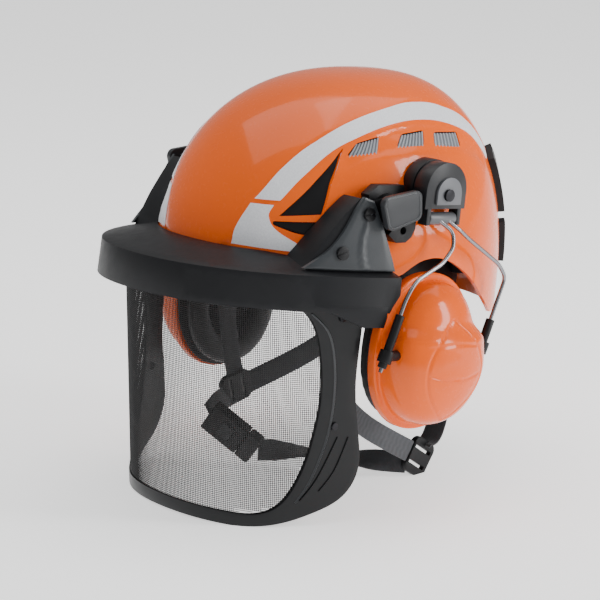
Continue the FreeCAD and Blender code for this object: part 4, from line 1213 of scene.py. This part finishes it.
def dress_nodes():
    """Rounded edges and materials for the CAD pieces that keep their own shape."""
    materials = dict(NODE_MATERIALS)
    for _, suffix in SIDES:
        for stem, key in SIDE_MATERIALS.items():
            materials[stem + suffix] = key
    for name, key in materials.items():
        obj = nodes[name]
        paint(obj, key)
        stem = name[:-2] if name[-2:] in ("_l", "_r") else name
        modify(obj, "WELD", merge_threshold=0.00002)
        modify(obj, "BEVEL", width=BEVELS.get(stem, PLAIN_BEVEL), segments=2,
               limit_method="ANGLE", angle_limit=math.radians(EDGE_ANGLE), use_clamp_overlap=True)
        smooth_by_angle(obj, EDGE_ANGLE)


# ---------------------------------------------------------------- floor, light and camera
FLOOR_TILT = math.radians(7.705)
FLOOR_DROP = 0.1335
FLOOR_GLOW = 0.9
WORLD_LIGHT = 0.42


def build_stage():
    """The helmet stands on its visor's edge and its straps, nose a little up."""
    normal = Vector((0, -math.sin(FLOOR_TILT), math.cos(FLOOR_TILT)))
    reach = 30.0
    corners = [(-reach, -reach, 0), (reach, -reach, 0), (reach, reach, 0), (-reach, reach, 0)]
    mesh = bpy.data.meshes.new("floor")
    mesh.from_pydata(corners, [], [(0, 1, 2, 3)])
    floor = bpy.data.objects.new("floor", mesh)
    bpy.context.scene.collection.objects.link(floor)
    floor.rotation_euler = (FLOOR_TILT, 0, 0)
    floor.location = -normal * FLOOR_DROP
    pale = Mat("pale_floor", (0.9, 0.9, 0.9), 0.9)
    pale.color(pale.noise(3.0), (0.89, 0.89, 0.89), (0.91, 0.91, 0.91))
    pale.shader.inputs["Emission Color"].default_value = (1.0, 1.0, 1.0, 1.0)
    pale.shader.inputs["Emission Strength"].default_value = FLOOR_GLOW
    mesh.materials.append(pale.material)

    world = bpy.data.worlds.new("studio")
    bpy.context.scene.world = world
    world.use_nodes = True
    background = world.node_tree.nodes["Background"]
    background.inputs["Color"].default_value = (1.0, 1.0, 1.0, 1.0)
    background.inputs["Strength"].default_value = WORLD_LIGHT


def area_light(name, place, target, size, power):
    """A rectangular lamp that faces its target."""
    lamp = bpy.data.lights.new(name, "AREA")
    lamp.shape = "RECTANGLE"
    lamp.size = size[0]
    lamp.size_y = size[1]
    lamp.energy = power
    holder = bpy.data.objects.new(name, lamp)
    bpy.context.scene.collection.objects.link(holder)
    holder.location = place
    holder.rotation_mode = "QUATERNION"
    holder.rotation_quaternion = (Vector(target) - Vector(place)).to_track_quat("-Z", "Y")


def build_lights():
    """A broad key from above the front, a side strip at the rear left, and a top light."""
    area_light("key", (-0.35, -0.35, 1.6), (0, 0, 0.02), (1.5, 1.5), 13.0)
    area_light("side", (1.05, 0.65, 0.56), (0, 0, 0.06), (0.3, 0.8), 12.0)
    area_light("top", (0.2, 0.5, 1.7), (0, 0, 0), (1.2, 1.2), 9.0)


# The camera's place and its axes, which are level with the floor.
EYE = Vector((1.1400, -1.0898, 0.2462))
VIEW_RIGHT = Vector((0.6683, 0.7372, 0.0997))
VIEW_UP = Vector((-0.1884, 0.0380, 0.9814))
VIEW_BACK = Vector((0.7197, -0.6746, 0.1643))
LENS = 138.6


def build_camera():
    """The view of the helmet from its front left."""
    data = bpy.data.cameras.new("camera")
    data.lens = LENS
    data.sensor_width = 36.0
    data.clip_start = 0.05
    data.clip_end = 80.0
    camera = bpy.data.objects.new("camera", data)
    bpy.context.scene.collection.objects.link(camera)
    turn = Matrix((VIEW_RIGHT, VIEW_UP, VIEW_BACK)).transposed()
    camera.matrix_world = Matrix.Translation(EYE) @ turn.to_4x4()
    bpy.context.scene.camera = camera


build_shell()
build_stripes()
build_grilles()
build_front_openings()
build_rear_clips()
build_foam_liner()
build_brow_pad()
build_crown_straps()
build_mesh()
build_visor_ribs()
build_side_plates()
build_cap_rims()
for sign, ending in SIDES:
    build_cup(sign, ending)
    build_cup_foam(sign, ending)
    build_cushion(sign, ending)
    build_wires(sign, ending)
build_straps()
dress_nodes()
build_stage()
build_lights()
build_camera()
